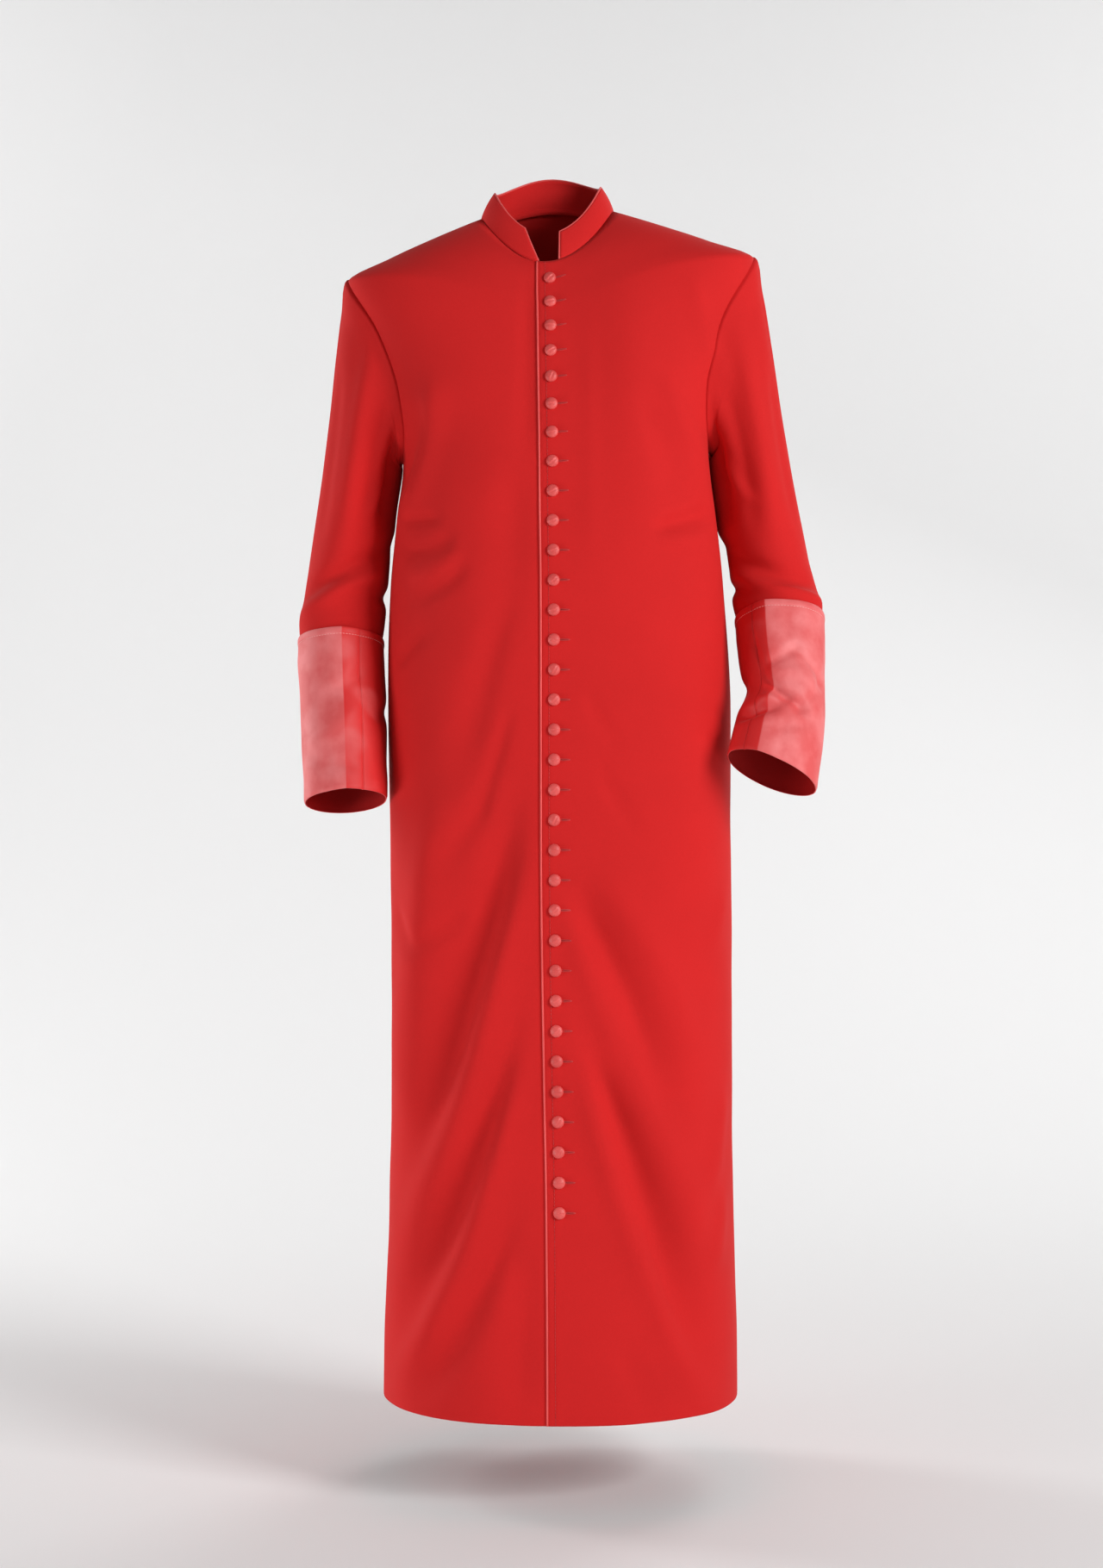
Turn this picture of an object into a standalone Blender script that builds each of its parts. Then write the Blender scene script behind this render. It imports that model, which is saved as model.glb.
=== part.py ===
"""A long buttoned cassock, hollow and in the pose in which it is worn, built from its cut pieces.

The front faces -Y, the wearer's left is +X and up is +Z. The origin is the middle of the neck opening,
level with the upper ends of the shoulder seams, where the wearer's shoulders carry the garment.
Every panel is a wall of cloth on one body surface: a stack of rounded sections from the hem to the neckline.
"""

import math
from collections import namedtuple

import bpy
import numpy as np
from mathutils import Vector

# Cloth and seams, in metres
CLOTH = 0.002
SEAM_GAP = 0.0003
ARMHOLE_GAP = 0.0005
ARMHOLE_GAP_AT_TOP = 0.0010
COLLAR_CLOTH = 0.0026
PIPING_RADIUS = 0.0009

# Front closing: the wearer's left front lies over the right one
OVERLAP = 0.0145
UNDERLAP = 0.022
UNDERLAP_DEPTH = 0.0031
UNDERLAP_BLEND = 0.055

# Buttons down the front line
BUTTON_COUNT = 33
BUTTON_RADIUS = 0.0072
BUTTON_HEIGHT = 0.0055
BUTTON_SIDES = 8
FIRST_BUTTON_DROP = 0.022
BUTTON_PITCH = 0.0352
BUTTON_PITCH_AT_NECK = 0.0298
CLOSE_BUTTONS = 7

# Armholes, as angles round the body from the side seam
ARMHOLE_BOTTOM = -0.300
ARMHOLE_TOP = -0.0655
ARMHOLE_FRONT_TURN = math.radians(24)
ARMHOLE_BACK_TURN = math.radians(24)
ARMHOLE_SKEW = 0.50
ARMHOLE_STEPS = 10

# The wearer's shoulders slope down to the right, and the slope dies out above the waist
SHOULDER_LEAN = 0.056
LEAN_FADES_AT = -0.55
LEAN_FULL_AT = -0.12

# Mesh fineness
SKIRT_ROWS = 25
SKIRT_GRADING = 1.35
SHOULDER_ROWS = 3
FRONT_COLUMNS = 12
BACK_COLUMNS = 30
CAP_ROWS = 6
ARM_ROWS = 11
CUFF_ROWS = 5
COLLAR_COLUMNS = 28
COLLAR_ROWS = 2

# The cuff reaches this far over the sleeve's end, stands proud of it, and the sleeve is tucked in under it
CUFF_OVER_SLEEVE = 0.014
CUFF_PROUD = 0.0015
SLEEVE_TUCK = 0.0009

FRONT = math.radians(-90)
LEFT_SIDE = 0.0
BACK = math.radians(90)
RIGHT_SIDE = math.radians(180)

# One level section of the body: heights at the side seam, centre front and centre back, the place of its
# middle and of the button line, its half width and depths, and the power of its rounded outline
Section = namedtuple(
    "Section", "name side front back middle buttons half_width front_depth back_depth power"
)
BODY = (
    Section("hem", -1.4440, -1.4450, -1.4415, 0.0095, 0.0085, 0.2160, 0.190, 0.222, 2.25),
    Section("ankle", -1.3600, -1.3600, -1.3600, 0.0095, 0.0082, 0.2150, 0.187, 0.213, 2.25),
    Section("calf", -1.2000, -1.2000, -1.2000, 0.0100, 0.0073, 0.2100, 0.180, 0.194, 2.25),
    Section("knee", -1.0400, -1.0400, -1.0400, 0.0105, 0.0045, 0.2085, 0.174, 0.174, 2.30),
    Section("thigh", -0.8800, -0.8800, -0.8800, 0.0105, 0.0022, 0.2080, 0.170, 0.158, 2.35),
    Section("hip", -0.7400, -0.7400, -0.7400, 0.0090, 0.0012, 0.2090, 0.167, 0.146, 2.40),
    Section("waist", -0.6000, -0.6000, -0.6000, 0.0075, 0.0010, 0.2095, 0.162, 0.130, 2.40),
    Section("ribs", -0.4600, -0.4600, -0.4600, 0.0045, 0.0005, 0.2035, 0.154, 0.123, 2.45),
    Section("below_arm", -0.3700, -0.3750, -0.3700, 0.0035, -0.0005, 0.1950, 0.147, 0.123, 2.50),
    Section("armpit", -0.3000, -0.3120, -0.2950, 0.0030, -0.0010, 0.1870, 0.141, 0.125, 2.60),
    Section("chest", -0.2200, -0.2450, -0.2050, 0.0000, -0.0020, 0.2010, 0.132, 0.125, 2.70),
    Section("blades", -0.1400, -0.1780, -0.1250, -0.0025, -0.0030, 0.2280, 0.118, 0.117, 2.60),
    Section("shoulder", -0.0715, -0.1280, -0.0600, -0.0025, -0.0035, 0.2495, 0.104, 0.100, 2.55),
    Section("yoke", -0.0452, -0.1050, -0.0230, -0.0050, -0.0040, 0.1970, 0.096, 0.088, 2.30),
    Section("neck_base", -0.0215, -0.0870, 0.0020, -0.0065, -0.0040, 0.1388, 0.090, 0.077, 2.15),
    Section("neckline", 0.0000, -0.0715, 0.0200, -0.0070, -0.0040, 0.0815, 0.084, 0.068, 2.10),
)

# The stand collar's lower and upper edges, read as the body's sections are
COLLAR = (
    Section("collar_base", 0.0006, -0.0709, 0.0206, -0.0070, -0.0040, 0.0815, 0.084, 0.068, 2.10),
    Section("collar_top", 0.0300, -0.0370, 0.0560, -0.0065, -0.0040, 0.0665, 0.073, 0.062, 2.10),
)
NOTCH_LEFT_BELOW = 0.0120
NOTCH_LEFT_ABOVE = 0.0120
NOTCH_RIGHT_BELOW = 0.0146
NOTCH_RIGHT_ABOVE = 0.0312

# One soft fold of the body: its ends across and up the cloth as seen from its own side, how far it stands
# out (a trough is negative) and how wide it is
Fold = namedtuple("Fold", "name x0 z0 x1 z1 out width")
FRONT_FOLDS = (
    Fold("right_hip_trough", -0.036, -0.560, -0.100, -0.800, -0.0060, 0.026),
    Fold("right_thigh_ridge", -0.034, -0.640, -0.120, -0.880, 0.0050, 0.024),
    Fold("right_thigh_trough", -0.030, -0.700, -0.125, -1.040, -0.0080, 0.026),
    Fold("right_knee_ridge", -0.036, -0.830, -0.150, -1.130, 0.0065, 0.026),
    Fold("right_knee_trough", -0.032, -0.940, -0.130, -1.230, -0.0080, 0.026),
    Fold("right_calf_ridge", -0.034, -1.080, -0.130, -1.370, 0.0070, 0.026),
    Fold("right_calf_trough", -0.030, -1.190, -0.090, -1.400, -0.0060, 0.026),
    Fold("left_hip_trough", 0.036, -0.600, 0.100, -0.840, -0.0050, 0.024),
    Fold("left_thigh_ridge", 0.048, -0.650, 0.165, -0.850, 0.0045, 0.026),
    Fold("left_thigh_trough", 0.038, -0.780, 0.112, -1.010, -0.0080, 0.026),
    Fold("left_knee_ridge", 0.044, -0.860, 0.150, -1.110, 0.0080, 0.026),
    Fold("left_knee_trough", 0.052, -0.990, 0.115, -1.190, -0.0070, 0.026),
    Fold("left_calf_ridge", 0.050, -1.040, 0.145, -1.360, 0.0075, 0.025),
    Fold("right_breast_fold", -0.115, -0.260, -0.150, -0.375, 0.0070, 0.022),
    Fold("left_breast_fold", 0.120, -0.360, 0.175, -0.350, -0.0060, 0.018),
)
BACK_FOLDS = (
    Fold("left_seat_trough", 0.030, -0.640, 0.110, -0.900, -0.0070, 0.028),
    Fold("right_seat_trough", -0.040, -0.600, -0.120, -0.880, -0.0070, 0.028),
    Fold("left_blade_fold", 0.150, -0.300, 0.090, -0.470, 0.0060, 0.024),
    Fold("right_blade_fold", -0.145, -0.290, -0.080, -0.450, 0.0060, 0.024),
)

# The skirt's own flutes, which run down from the seat and open towards the hem
Flute = namedtuple("Flute", "name turn starts_at out width")
FLUTES = (
    Flute("left_side_flute", math.radians(27), -0.70, 0.009, math.radians(12)),
    Flute("left_back_flute", math.radians(60), -0.64, 0.018, math.radians(13)),
    Flute("centre_back_hollow", math.radians(88), -0.70, -0.012, math.radians(12)),
    Flute("right_back_flute", math.radians(116), -0.66, 0.019, math.radians(13)),
    Flute("right_side_flute", math.radians(151), -0.74, 0.010, math.radians(12)),
)

# One ring of a sleeve, from biceps to wrist: its middle, half sizes across and front to back, and how its
# plane leans out to the side and pitches forward, in degrees. Left is the wearer's left.
Ring = namedtuple("Ring", "name x y z half_across half_deep lean pitch")
LEFT_ARM = (
    Ring("biceps", 0.2480, 0.002, -0.3280, 0.0470, 0.066, -4, -2),
    Ring("upper_arm", 0.2560, 0.004, -0.3760, 0.0480, 0.064, -6, 0),
    Ring("above_elbow", 0.2655, 0.004, -0.4290, 0.0490, 0.060, -8, 4),
    Ring("elbow", 0.2725, -0.006, -0.4720, 0.0525, 0.056, -5, 14),
    Ring("cuff_top", 0.2765, -0.020, -0.4960, 0.0530, 0.055, -1, 20),
    Ring("cuff_upper", 0.2770, -0.045, -0.5480, 0.0500, 0.054, 0, 24),
    Ring("cuff_kink", 0.2795, -0.070, -0.5960, 0.0470, 0.052, 6, 24),
    Ring("cuff_lower", 0.2725, -0.088, -0.6300, 0.0525, 0.052, 15, 22),
    Ring("wrist", 0.2600, -0.110, -0.6854, 0.0565, 0.052, 22, 20),
)
RIGHT_ARM = (
    Ring("biceps", -0.2400, 0.004, -0.3400, 0.0465, 0.066, -4, -2),
    Ring("upper_arm", -0.2455, 0.006, -0.3850, 0.0475, 0.064, -6, 0),
    Ring("above_elbow", -0.2520, 0.008, -0.4400, 0.0495, 0.060, -6, 2),
    Ring("elbow", -0.2570, 0.003, -0.4900, 0.0510, 0.057, -4, 9),
    Ring("cuff_top", -0.2600, -0.006, -0.5230, 0.0510, 0.055, 0, 14),
    Ring("cuff_upper", -0.2580, -0.020, -0.5750, 0.0505, 0.054, 1, 15),
    Ring("cuff_middle", -0.2550, -0.035, -0.6260, 0.0510, 0.053, 2, 16),
    Ring("cuff_lower", -0.2525, -0.050, -0.6740, 0.0500, 0.053, 3, 16),
    Ring("wrist", -0.2500, -0.066, -0.7195, 0.0488, 0.052, 4, 16),
)

# One crease of a sleeve: where it lies round the sleeve (0 towards the body, 90 in front, 180 outside), its
# height at that place and at its far end, how far it stands out and its width
Crease = namedtuple("Crease", "name turn0 z0 turn1 z1 out width")
LEFT_CREASES = (
    Crease("elbow_upper_trough", 20, -0.455, 120, -0.430, -0.0060, 0.016),
    Crease("elbow_ridge", 40, -0.478, 170, -0.478, 0.0050, 0.015),
    Crease("cap_ridge", 150, -0.140, 100, -0.360, 0.0040, 0.016),
)
RIGHT_CREASES = (
    Crease("elbow_upper_trough", 30, -0.415, 150, -0.490, -0.0065, 0.018),
    Crease("elbow_ridge", 50, -0.450, 160, -0.510, 0.0045, 0.016),
    Crease("cap_ridge", 140, -0.200, 110, -0.400, 0.0040, 0.016),
)

CLOTH_RED = (0.578, 0.019, 0.019, 1.0)
SATIN_PINK = (0.760, 0.119, 0.117, 1.0)


def smooth_step(value, low, high):
    """Rises from 0 at low to 1 at high with level ends."""
    share = np.clip((np.asarray(value, float) - low) / (high - low), 0.0, 1.0)
    return share * share * (3.0 - 2.0 * share)


def monotone_curve(knots, values, at):
    """Cubic curve through the knots that never swings past them, read at the places asked for."""
    knots, values, at = (np.asarray(a, float) for a in (knots, values, at))
    steps = np.diff(knots)
    slopes = np.diff(values) / steps
    tangents = np.concatenate([slopes[:1], np.zeros(len(knots) - 2), slopes[-1:]])
    for i in range(1, len(knots) - 1):
        if slopes[i - 1] * slopes[i] > 0:
            weight_a = 2 * steps[i] + steps[i - 1]
            weight_b = steps[i] + 2 * steps[i - 1]
            tangents[i] = (weight_a + weight_b) / (weight_a / slopes[i - 1] + weight_b / slopes[i])
    cell = np.clip(np.searchsorted(knots, at) - 1, 0, len(steps) - 1)
    t = (at - knots[cell]) / steps[cell]
    return (
        values[cell] * (1 + 2 * t) * (1 - t) ** 2
        + values[cell + 1] * t * t * (3 - 2 * t)
        + steps[cell] * (tangents[cell] * t * (1 - t) ** 2 + tangents[cell + 1] * t * t * (t - 1))
    )


def column(table, name, key, at):
    """One column of a table, as a smooth curve over another column."""
    knots = [getattr(row, key) for row in table]
    values = [getattr(row, name) for row in table]
    return monotone_curve(knots, values, at)


def fold_height(across, up, folds):
    """How far the folds push the cloth out at places given across and up it."""
    total = np.zeros(np.broadcast(across, up).shape)
    for fold in folds:
        run_x, run_z = fold.x1 - fold.x0, fold.z1 - fold.z0
        length = math.hypot(run_x, run_z)
        along = ((across - fold.x0) * run_x + (up - fold.z0) * run_z) / length
        beside = ((across - fold.x0) * run_z - (up - fold.z0) * run_x) / length
        fade = smooth_step(along, -fold.width, 0.45 * length) * (
            1 - smooth_step(along, 0.60 * length, length + fold.width)
        )
        total = total + fold.out * fade * np.exp(-((beside / fold.width) ** 2))
    return total


def flute_height(turn, height):
    """How far the skirt's flutes push the cloth out."""
    total = np.zeros(np.broadcast(turn, height).shape)
    hem = BODY[0].side
    for flute in FLUTES:
        opening = smooth_step(-height, -flute.starts_at, -hem)
        total = total + flute.out * opening * np.exp(-(((turn - flute.turn) / flute.width) ** 2))
    return total


def ring_point(table, turn, height):
    """Points at an angle round the plain body or collar, 0 at the left side and -90 degrees in front."""
    turn, height = np.broadcast_arrays(np.asarray(turn, float), np.asarray(height, float))
    read = {name: column(table, name, "side", height) for name in Section._fields[2:]}
    cosine, sine = np.cos(turn), np.sin(turn)
    depth = np.where(sine < 0, read["front_depth"], read["back_depth"])
    reach = (
        np.abs(cosine / read["half_width"]) ** read["power"] + np.abs(sine / depth) ** read["power"]
    ) ** (-1.0 / read["power"])
    level = np.where(sine < 0, read["front"], read["back"])
    z = height + (level - height) * sine**2
    return np.stack([read["middle"] + reach * cosine, reach * sine, z], axis=-1)


def plain_body(turn, height):
    """The body surface without folds, with the lean of the shoulders."""
    point = ring_point(BODY, turn, height)
    lean = SHOULDER_LEAN * smooth_step(point[..., 2], LEAN_FADES_AT, LEAN_FULL_AT)
    point[..., 2] += lean * point[..., 0]
    return point


def normals_of(surface, turn, height):
    """Outward unit normals of a surface that is a function of angle and height."""
    small_turn, small_height = 2e-3, 5e-4
    above = np.minimum(height + small_height, np.max(height))
    round_way = surface(turn + small_turn, height) - surface(turn - small_turn, height)
    up_way = surface(turn, above) - surface(turn, height - small_height)
    cross = np.cross(round_way, up_way)
    return cross / np.linalg.norm(cross, axis=-1, keepdims=True)


def body_surface(turn, height):
    """The body surface with its folds: what the outside of every panel follows."""
    point = plain_body(turn, height)
    facing = np.sin(np.broadcast_to(turn, point.shape[:-1]))
    in_front = smooth_step(-facing, 0.05, 0.45)
    behind = smooth_step(facing, 0.05, 0.45)
    out = in_front * fold_height(point[..., 0], point[..., 2], FRONT_FOLDS)
    out = out + behind * fold_height(point[..., 0], point[..., 2], BACK_FOLDS)
    out = out + flute_height(turn, height)
    away = np.stack([np.cos(turn) + 0 * out, np.sin(turn) + 0 * out, 0 * out], axis=-1)
    return point + away * out[..., None]


def collar_surface(turn, height):
    """The outside of the stand collar, which carries on from the neckline."""
    point = ring_point(COLLAR, turn, height)
    point[..., 2] += SHOULDER_LEAN * point[..., 0]
    return point


def sheet_points(surface, turn, height, inward=0.0):
    """Points on a surface and their normals, moved in by a distance that may vary."""
    normal = normals_of(surface, turn, height)
    return surface(turn, height) - np.asarray(inward)[..., None] * normal, normal


def wall_object(name, outer, inner, material, closed=False):
    """A cloth wall between two grids of points, closed round its edges. The grids may wrap into a tube."""
    rows, columns = outer.shape[:2]
    points = np.concatenate([outer.reshape(-1, 3), inner.reshape(-1, 3)])
    behind = rows * columns
    faces = []
    spans = columns if closed else columns - 1
    for i in range(rows - 1):
        for j in range(spans):
            k = (j + 1) % columns
            a, b, c, d = i * columns + j, i * columns + k, (i + 1) * columns + k, (i + 1) * columns + j
            faces.append((a, b, c, d))
            faces.append((d + behind, c + behind, b + behind, a + behind))
    for j in range(spans):
        k = (j + 1) % columns
        top = (rows - 1) * columns
        faces.append((j, j + behind, k + behind, k))
        faces.append((top + k, top + k + behind, top + j + behind, top + j))
    if not closed:
        last = columns - 1
        for i in range(rows - 1):
            a, b = i * columns, (i + 1) * columns
            faces.append((b, b + behind, a + behind, a))
            faces.append((a + last, a + last + behind, b + last + behind, b + last))
    return mesh_object(name, points, faces, material)


def mesh_object(name, points, faces, material):
    """A mesh object from points and faces, smooth but for its sharp edges."""
    mesh = bpy.data.meshes.new(name)
    mesh.from_pydata([tuple(p) for p in points], [], faces)
    mesh.validate()
    mesh.shade_smooth()
    mesh.set_sharp_from_angle(angle=math.radians(50))
    mesh.materials.append(material)
    made = bpy.data.objects.new(name, mesh)
    bpy.context.collection.objects.link(made)
    return made


def tube_object(name, centres, sides, radius, material):
    """A thin round tube along a line of points, with flat ends."""
    centres = np.asarray(centres, float)
    along = np.gradient(centres, axis=0)
    along /= np.linalg.norm(along, axis=1, keepdims=True)
    ring_a = np.zeros_like(along)
    guide = np.array([0.0, 1.0, 0.0]) if abs(along[0, 1]) < 0.9 else np.array([1.0, 0.0, 0.0])
    for i, direction in enumerate(along):
        guide = guide - direction * (guide @ direction)
        guide /= np.linalg.norm(guide)
        ring_a[i] = guide
    ring_b = np.cross(along, ring_a)
    angles = np.arange(sides) * 2 * math.pi / sides
    points = (
        centres[:, None]
        + radius * np.cos(angles)[None, :, None] * ring_a[:, None]
        + radius * np.sin(angles)[None, :, None] * ring_b[:, None]
    ).reshape(-1, 3)
    faces = [tuple(range(sides))[::-1], tuple((len(centres) - 1) * sides + s for s in range(sides))]
    for i in range(len(centres) - 1):
        for s in range(sides):
            t = (s + 1) % sides
            faces.append((i * sides + s, i * sides + t, (i + 1) * sides + t, (i + 1) * sides + s))
    return mesh_object(name, points, faces, material)


def body_heights():
    """Side seam heights of the rows that the fronts and the back share."""
    climb = 1 - np.linspace(1, 0, SKIRT_ROWS + 1) ** SKIRT_GRADING
    skirt = BODY[0].side + (ARMHOLE_BOTTOM - BODY[0].side) * climb
    armhole = armhole_edge(np.arange(1, ARMHOLE_STEPS + 1) * math.pi / ARMHOLE_STEPS, 0)[0]
    shoulder = np.linspace(ARMHOLE_TOP, BODY[-1].side, SHOULDER_ROWS + 1)[1:]
    return np.concatenate([skirt, armhole, shoulder])


def armhole_edge(swing, furthest):
    """Heights and turns from the side seam of an armhole's edge, at swings from its bottom to its top.

    The edge reaches furthest in its lower half and then runs nearly straight to the shoulder.
    """
    share = (1 - np.cos(swing)) / 2
    height = ARMHOLE_BOTTOM + (ARMHOLE_TOP - ARMHOLE_BOTTOM) * share
    return height, furthest * np.sin(swing) * (1.10 - ARMHOLE_SKEW * share)


def armhole_turn(height, furthest):
    """How far round from the side seam the armhole's edge lies at a height: 0 above and below it."""
    share = np.clip((height - ARMHOLE_BOTTOM) / (ARMHOLE_TOP - ARMHOLE_BOTTOM), 0, 1)
    return armhole_edge(np.arccos(1 - 2 * share), furthest)[1]


def seam_turn(height):
    """Half the seam gap, as an angle at the side of the body."""
    return 0.5 * SEAM_GAP / column(BODY, "half_width", "side", height)


def front_turn(height, x_from_buttons):
    """The angle at which the front lies at a distance from the button line."""
    depth = column(BODY, "front_depth", "side", height)
    off_centre = column(BODY, "buttons", "side", height) - column(BODY, "middle", "side", height)
    return FRONT + np.arcsin((off_centre + x_from_buttons) / depth)


def left_front(material):
    """The wearer's left front, which lies on top and carries the buttonholes."""
    height = body_heights()
    edge = front_turn(height, -OVERLAP)
    at_buttons = front_turn(height, 0.0)
    side = LEFT_SIDE - seam_turn(height) - armhole_turn(height, ARMHOLE_FRONT_TURN)
    share = np.linspace(0, 1, FRONT_COLUMNS)
    turns = np.concatenate(
        [edge[:, None], at_buttons[:, None] + (side - at_buttons)[:, None] * share], axis=1
    )
    heights = np.repeat(height[:, None], turns.shape[1], axis=1)
    outer, normal = sheet_points(body_surface, turns, heights, np.zeros(turns.shape))
    wall_object("left_front", outer, outer - CLOTH * normal, material)
    return outer, normal


def right_front(material):
    """The wearer's right front, whose edge lies under the left one."""
    height = body_heights()
    side = -RIGHT_SIDE + seam_turn(height) + armhole_turn(height, ARMHOLE_FRONT_TURN)
    under_edge = front_turn(height, UNDERLAP)
    at_edge = front_turn(height, -OVERLAP)
    share = np.linspace(0, 1, FRONT_COLUMNS)
    turns = np.concatenate(
        [side[:, None] + (at_edge - side)[:, None] * share, under_edge[:, None]], axis=1
    )
    heights = np.repeat(height[:, None], turns.shape[1], axis=1)
    x_from_buttons = plain_body(turns, heights)[..., 0] - column(BODY, "buttons", "side", heights)
    inward = UNDERLAP_DEPTH * smooth_step(x_from_buttons, -OVERLAP - UNDERLAP_BLEND, -OVERLAP)
    outer, normal = sheet_points(body_surface, turns, heights, inward)
    return wall_object("right_front", outer, outer - CLOTH * normal, material)


def back(material):
    """The back, in one piece from side seam to side seam."""
    height = body_heights()
    from_side = seam_turn(height) + armhole_turn(height, ARMHOLE_BACK_TURN)
    share = np.linspace(0, 1, BACK_COLUMNS)
    start, end = LEFT_SIDE + from_side, RIGHT_SIDE - from_side
    turns = start[:, None] + (end - start)[:, None] * share
    heights = np.repeat(height[:, None], turns.shape[1], axis=1)
    outer, normal = sheet_points(body_surface, turns, heights, np.zeros(turns.shape))
    return wall_object("back", outer, outer - CLOTH * normal, material)


def armhole_loop(side):
    """An armhole's edge, from its bottom up the front, over the shoulder and down the back.

    It gives the points, the cloth's normals there and the directions that lead off the cloth into the hole.
    """
    swing = np.arange(2 * ARMHOLE_STEPS) * math.pi / ARMHOLE_STEPS
    reach = np.where(np.sin(swing) >= 0, ARMHOLE_FRONT_TURN, ARMHOLE_BACK_TURN)
    height, from_side = armhole_edge(swing, -reach)
    turn = from_side if side > 0 else -RIGHT_SIDE - from_side
    points, normal = sheet_points(body_surface, turn, height, np.zeros(turn.shape))
    along = np.roll(points, -1, axis=0) - np.roll(points, 1, axis=0)
    off = np.cross(along, normal)
    off /= np.linalg.norm(off, axis=1, keepdims=True)
    inward = ((points.mean(axis=0) - points) * off).sum(axis=1, keepdims=True)
    return points, normal, off * np.sign(inward)


def arm_ring(rings, side, height):
    """The ring of points round an arm where its middle is at a height, in the armhole loop's order."""
    upward = rings[::-1]
    x, y, across, deep, lean, pitch = (
        float(column(upward, name, "z", np.array([height]))[0])
        for name in ("x", "y", "half_across", "half_deep", "lean", "pitch")
    )
    lean, pitch = math.radians(lean), math.radians(pitch)
    outward = np.array([side * math.cos(lean), 0.0, -math.sin(lean)])
    forward = np.array([0.0, -math.cos(pitch), math.sin(pitch)])
    swing = np.arange(2 * ARMHOLE_STEPS) * math.pi / ARMHOLE_STEPS
    round_way = -across * np.cos(swing)[:, None] * outward + deep * np.sin(swing)[:, None] * forward
    return np.array([x, y, height]) + round_way


def sleeve_grid(rings, side, heights):
    """Rows of points down a sleeve: the cap, from the armhole to the biceps, and then the arm's rings.

    It also gives the body's normals at the armhole, which the sleeve's upper edge is cut along.
    """
    loop, normal, off = armhole_loop(side)
    biceps = arm_ring(rings, side, rings[0].z)
    below = arm_ring(rings, side, rings[0].z - 0.02)
    swing = np.arange(2 * ARMHOLE_STEPS) * math.pi / ARMHOLE_STEPS
    over = ((1 - np.cos(swing)) / 2)[:, None]
    gap = np.linalg.norm(biceps - loop, axis=1, keepdims=True)
    leave = off + (0.9 - 0.6 * over) * normal
    leave /= np.linalg.norm(leave, axis=1, keepdims=True)
    arrive = below - biceps
    arrive /= np.linalg.norm(arrive, axis=1, keepdims=True)
    start = loop + (ARMHOLE_GAP + ARMHOLE_GAP_AT_TOP * over**4) * off
    pull_away = gap * (0.55 - 0.46 * over) + 0.008
    pull_down = gap * (0.85 + 0.10 * over)
    rows = []
    for t in np.linspace(0, 1, CAP_ROWS + 1):
        rows.append(
            start * (1 + 2 * t) * (1 - t) ** 2
            + biceps * t * t * (3 - 2 * t)
            + leave * pull_away * t * (1 - t) ** 2
            + arrive * pull_down * t * t * (t - 1)
        )
    rows += [arm_ring(rings, side, height) for height in heights]
    return np.array(rows), normal


def tube_normals(grid, side):
    """Outward unit normals of a tube of points."""
    round_way = np.roll(grid, -1, axis=1) - np.roll(grid, 1, axis=1)
    down_way = np.gradient(grid, axis=0)
    cross = side * np.cross(down_way, round_way)
    return cross / np.linalg.norm(cross, axis=-1, keepdims=True)


def creased(grid, normal, creases):
    """The tube with its creases pushed in and its ridges pushed out."""
    swing = np.degrees(np.arange(grid.shape[1]) * math.pi / ARMHOLE_STEPS)
    out = np.zeros(grid.shape[:2])
    girth = 0.055
    for crease in creases:
        across = np.radians(np.broadcast_to(swing, out.shape)) * girth
        fold = Fold(
            crease.name,
            math.radians(crease.turn0) * girth,
            crease.z0,
            math.radians(crease.turn1) * girth,
            crease.z1,
            crease.out,
            crease.width,
        )
        out += fold_height(across, grid[..., 2], [fold])
    row = np.arange(grid.shape[0])
    free = smooth_step(row, 0, 3) * (1 - smooth_step(row, len(row) - 4, len(row) - 2))
    tucked = SLEEVE_TUCK * smooth_step(row, len(row) - 4, len(row) - 2)
    return grid + (out * free[:, None] - tucked[:, None])[..., None] * normal


def sleeve(name, rings, creases, side, material):
    """A sleeve from the armhole down to just under the cuff's upper edge."""
    cuff_top = next(ring.z for ring in rings if ring.name == "cuff_top")
    heights = np.linspace(rings[0].z, cuff_top, ARM_ROWS)[1:]
    heights = np.append(heights, cuff_top - 0.9 * CUFF_OVER_SLEEVE)
    grid, edge_normal = sleeve_grid(rings, side, heights)
    grid = creased(grid, tube_normals(grid, side), creases)
    normal = tube_normals(grid, side)
    normal[0] = edge_normal
    return tube_wall(name, grid, grid - CLOTH * normal, side, material)


def cuff(name, rings, side, material):
    """A turned-up satin cuff, just outside the sleeve's end and down to the wrist."""
    top = next(ring.z for ring in rings if ring.name == "cuff_top")
    heights = np.linspace(top - CUFF_OVER_SLEEVE, rings[-1].z, CUFF_ROWS)
    heights = np.insert(heights, 0, top)
    grid = np.array([arm_ring(rings, side, height) for height in heights])
    normal = tube_normals(grid, side)
    outer = grid + CUFF_PROUD * normal
    return tube_wall(name, outer, outer - CLOTH * normal, side, material)


def tube_wall(name, outer, inner, side, material):
    """A cloth tube. Its rows run down and a right one's columns run clockwise, so they are turned over."""
    return wall_object(name, outer[::-1, ::side], inner[::-1, ::side], material, closed=True)


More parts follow.
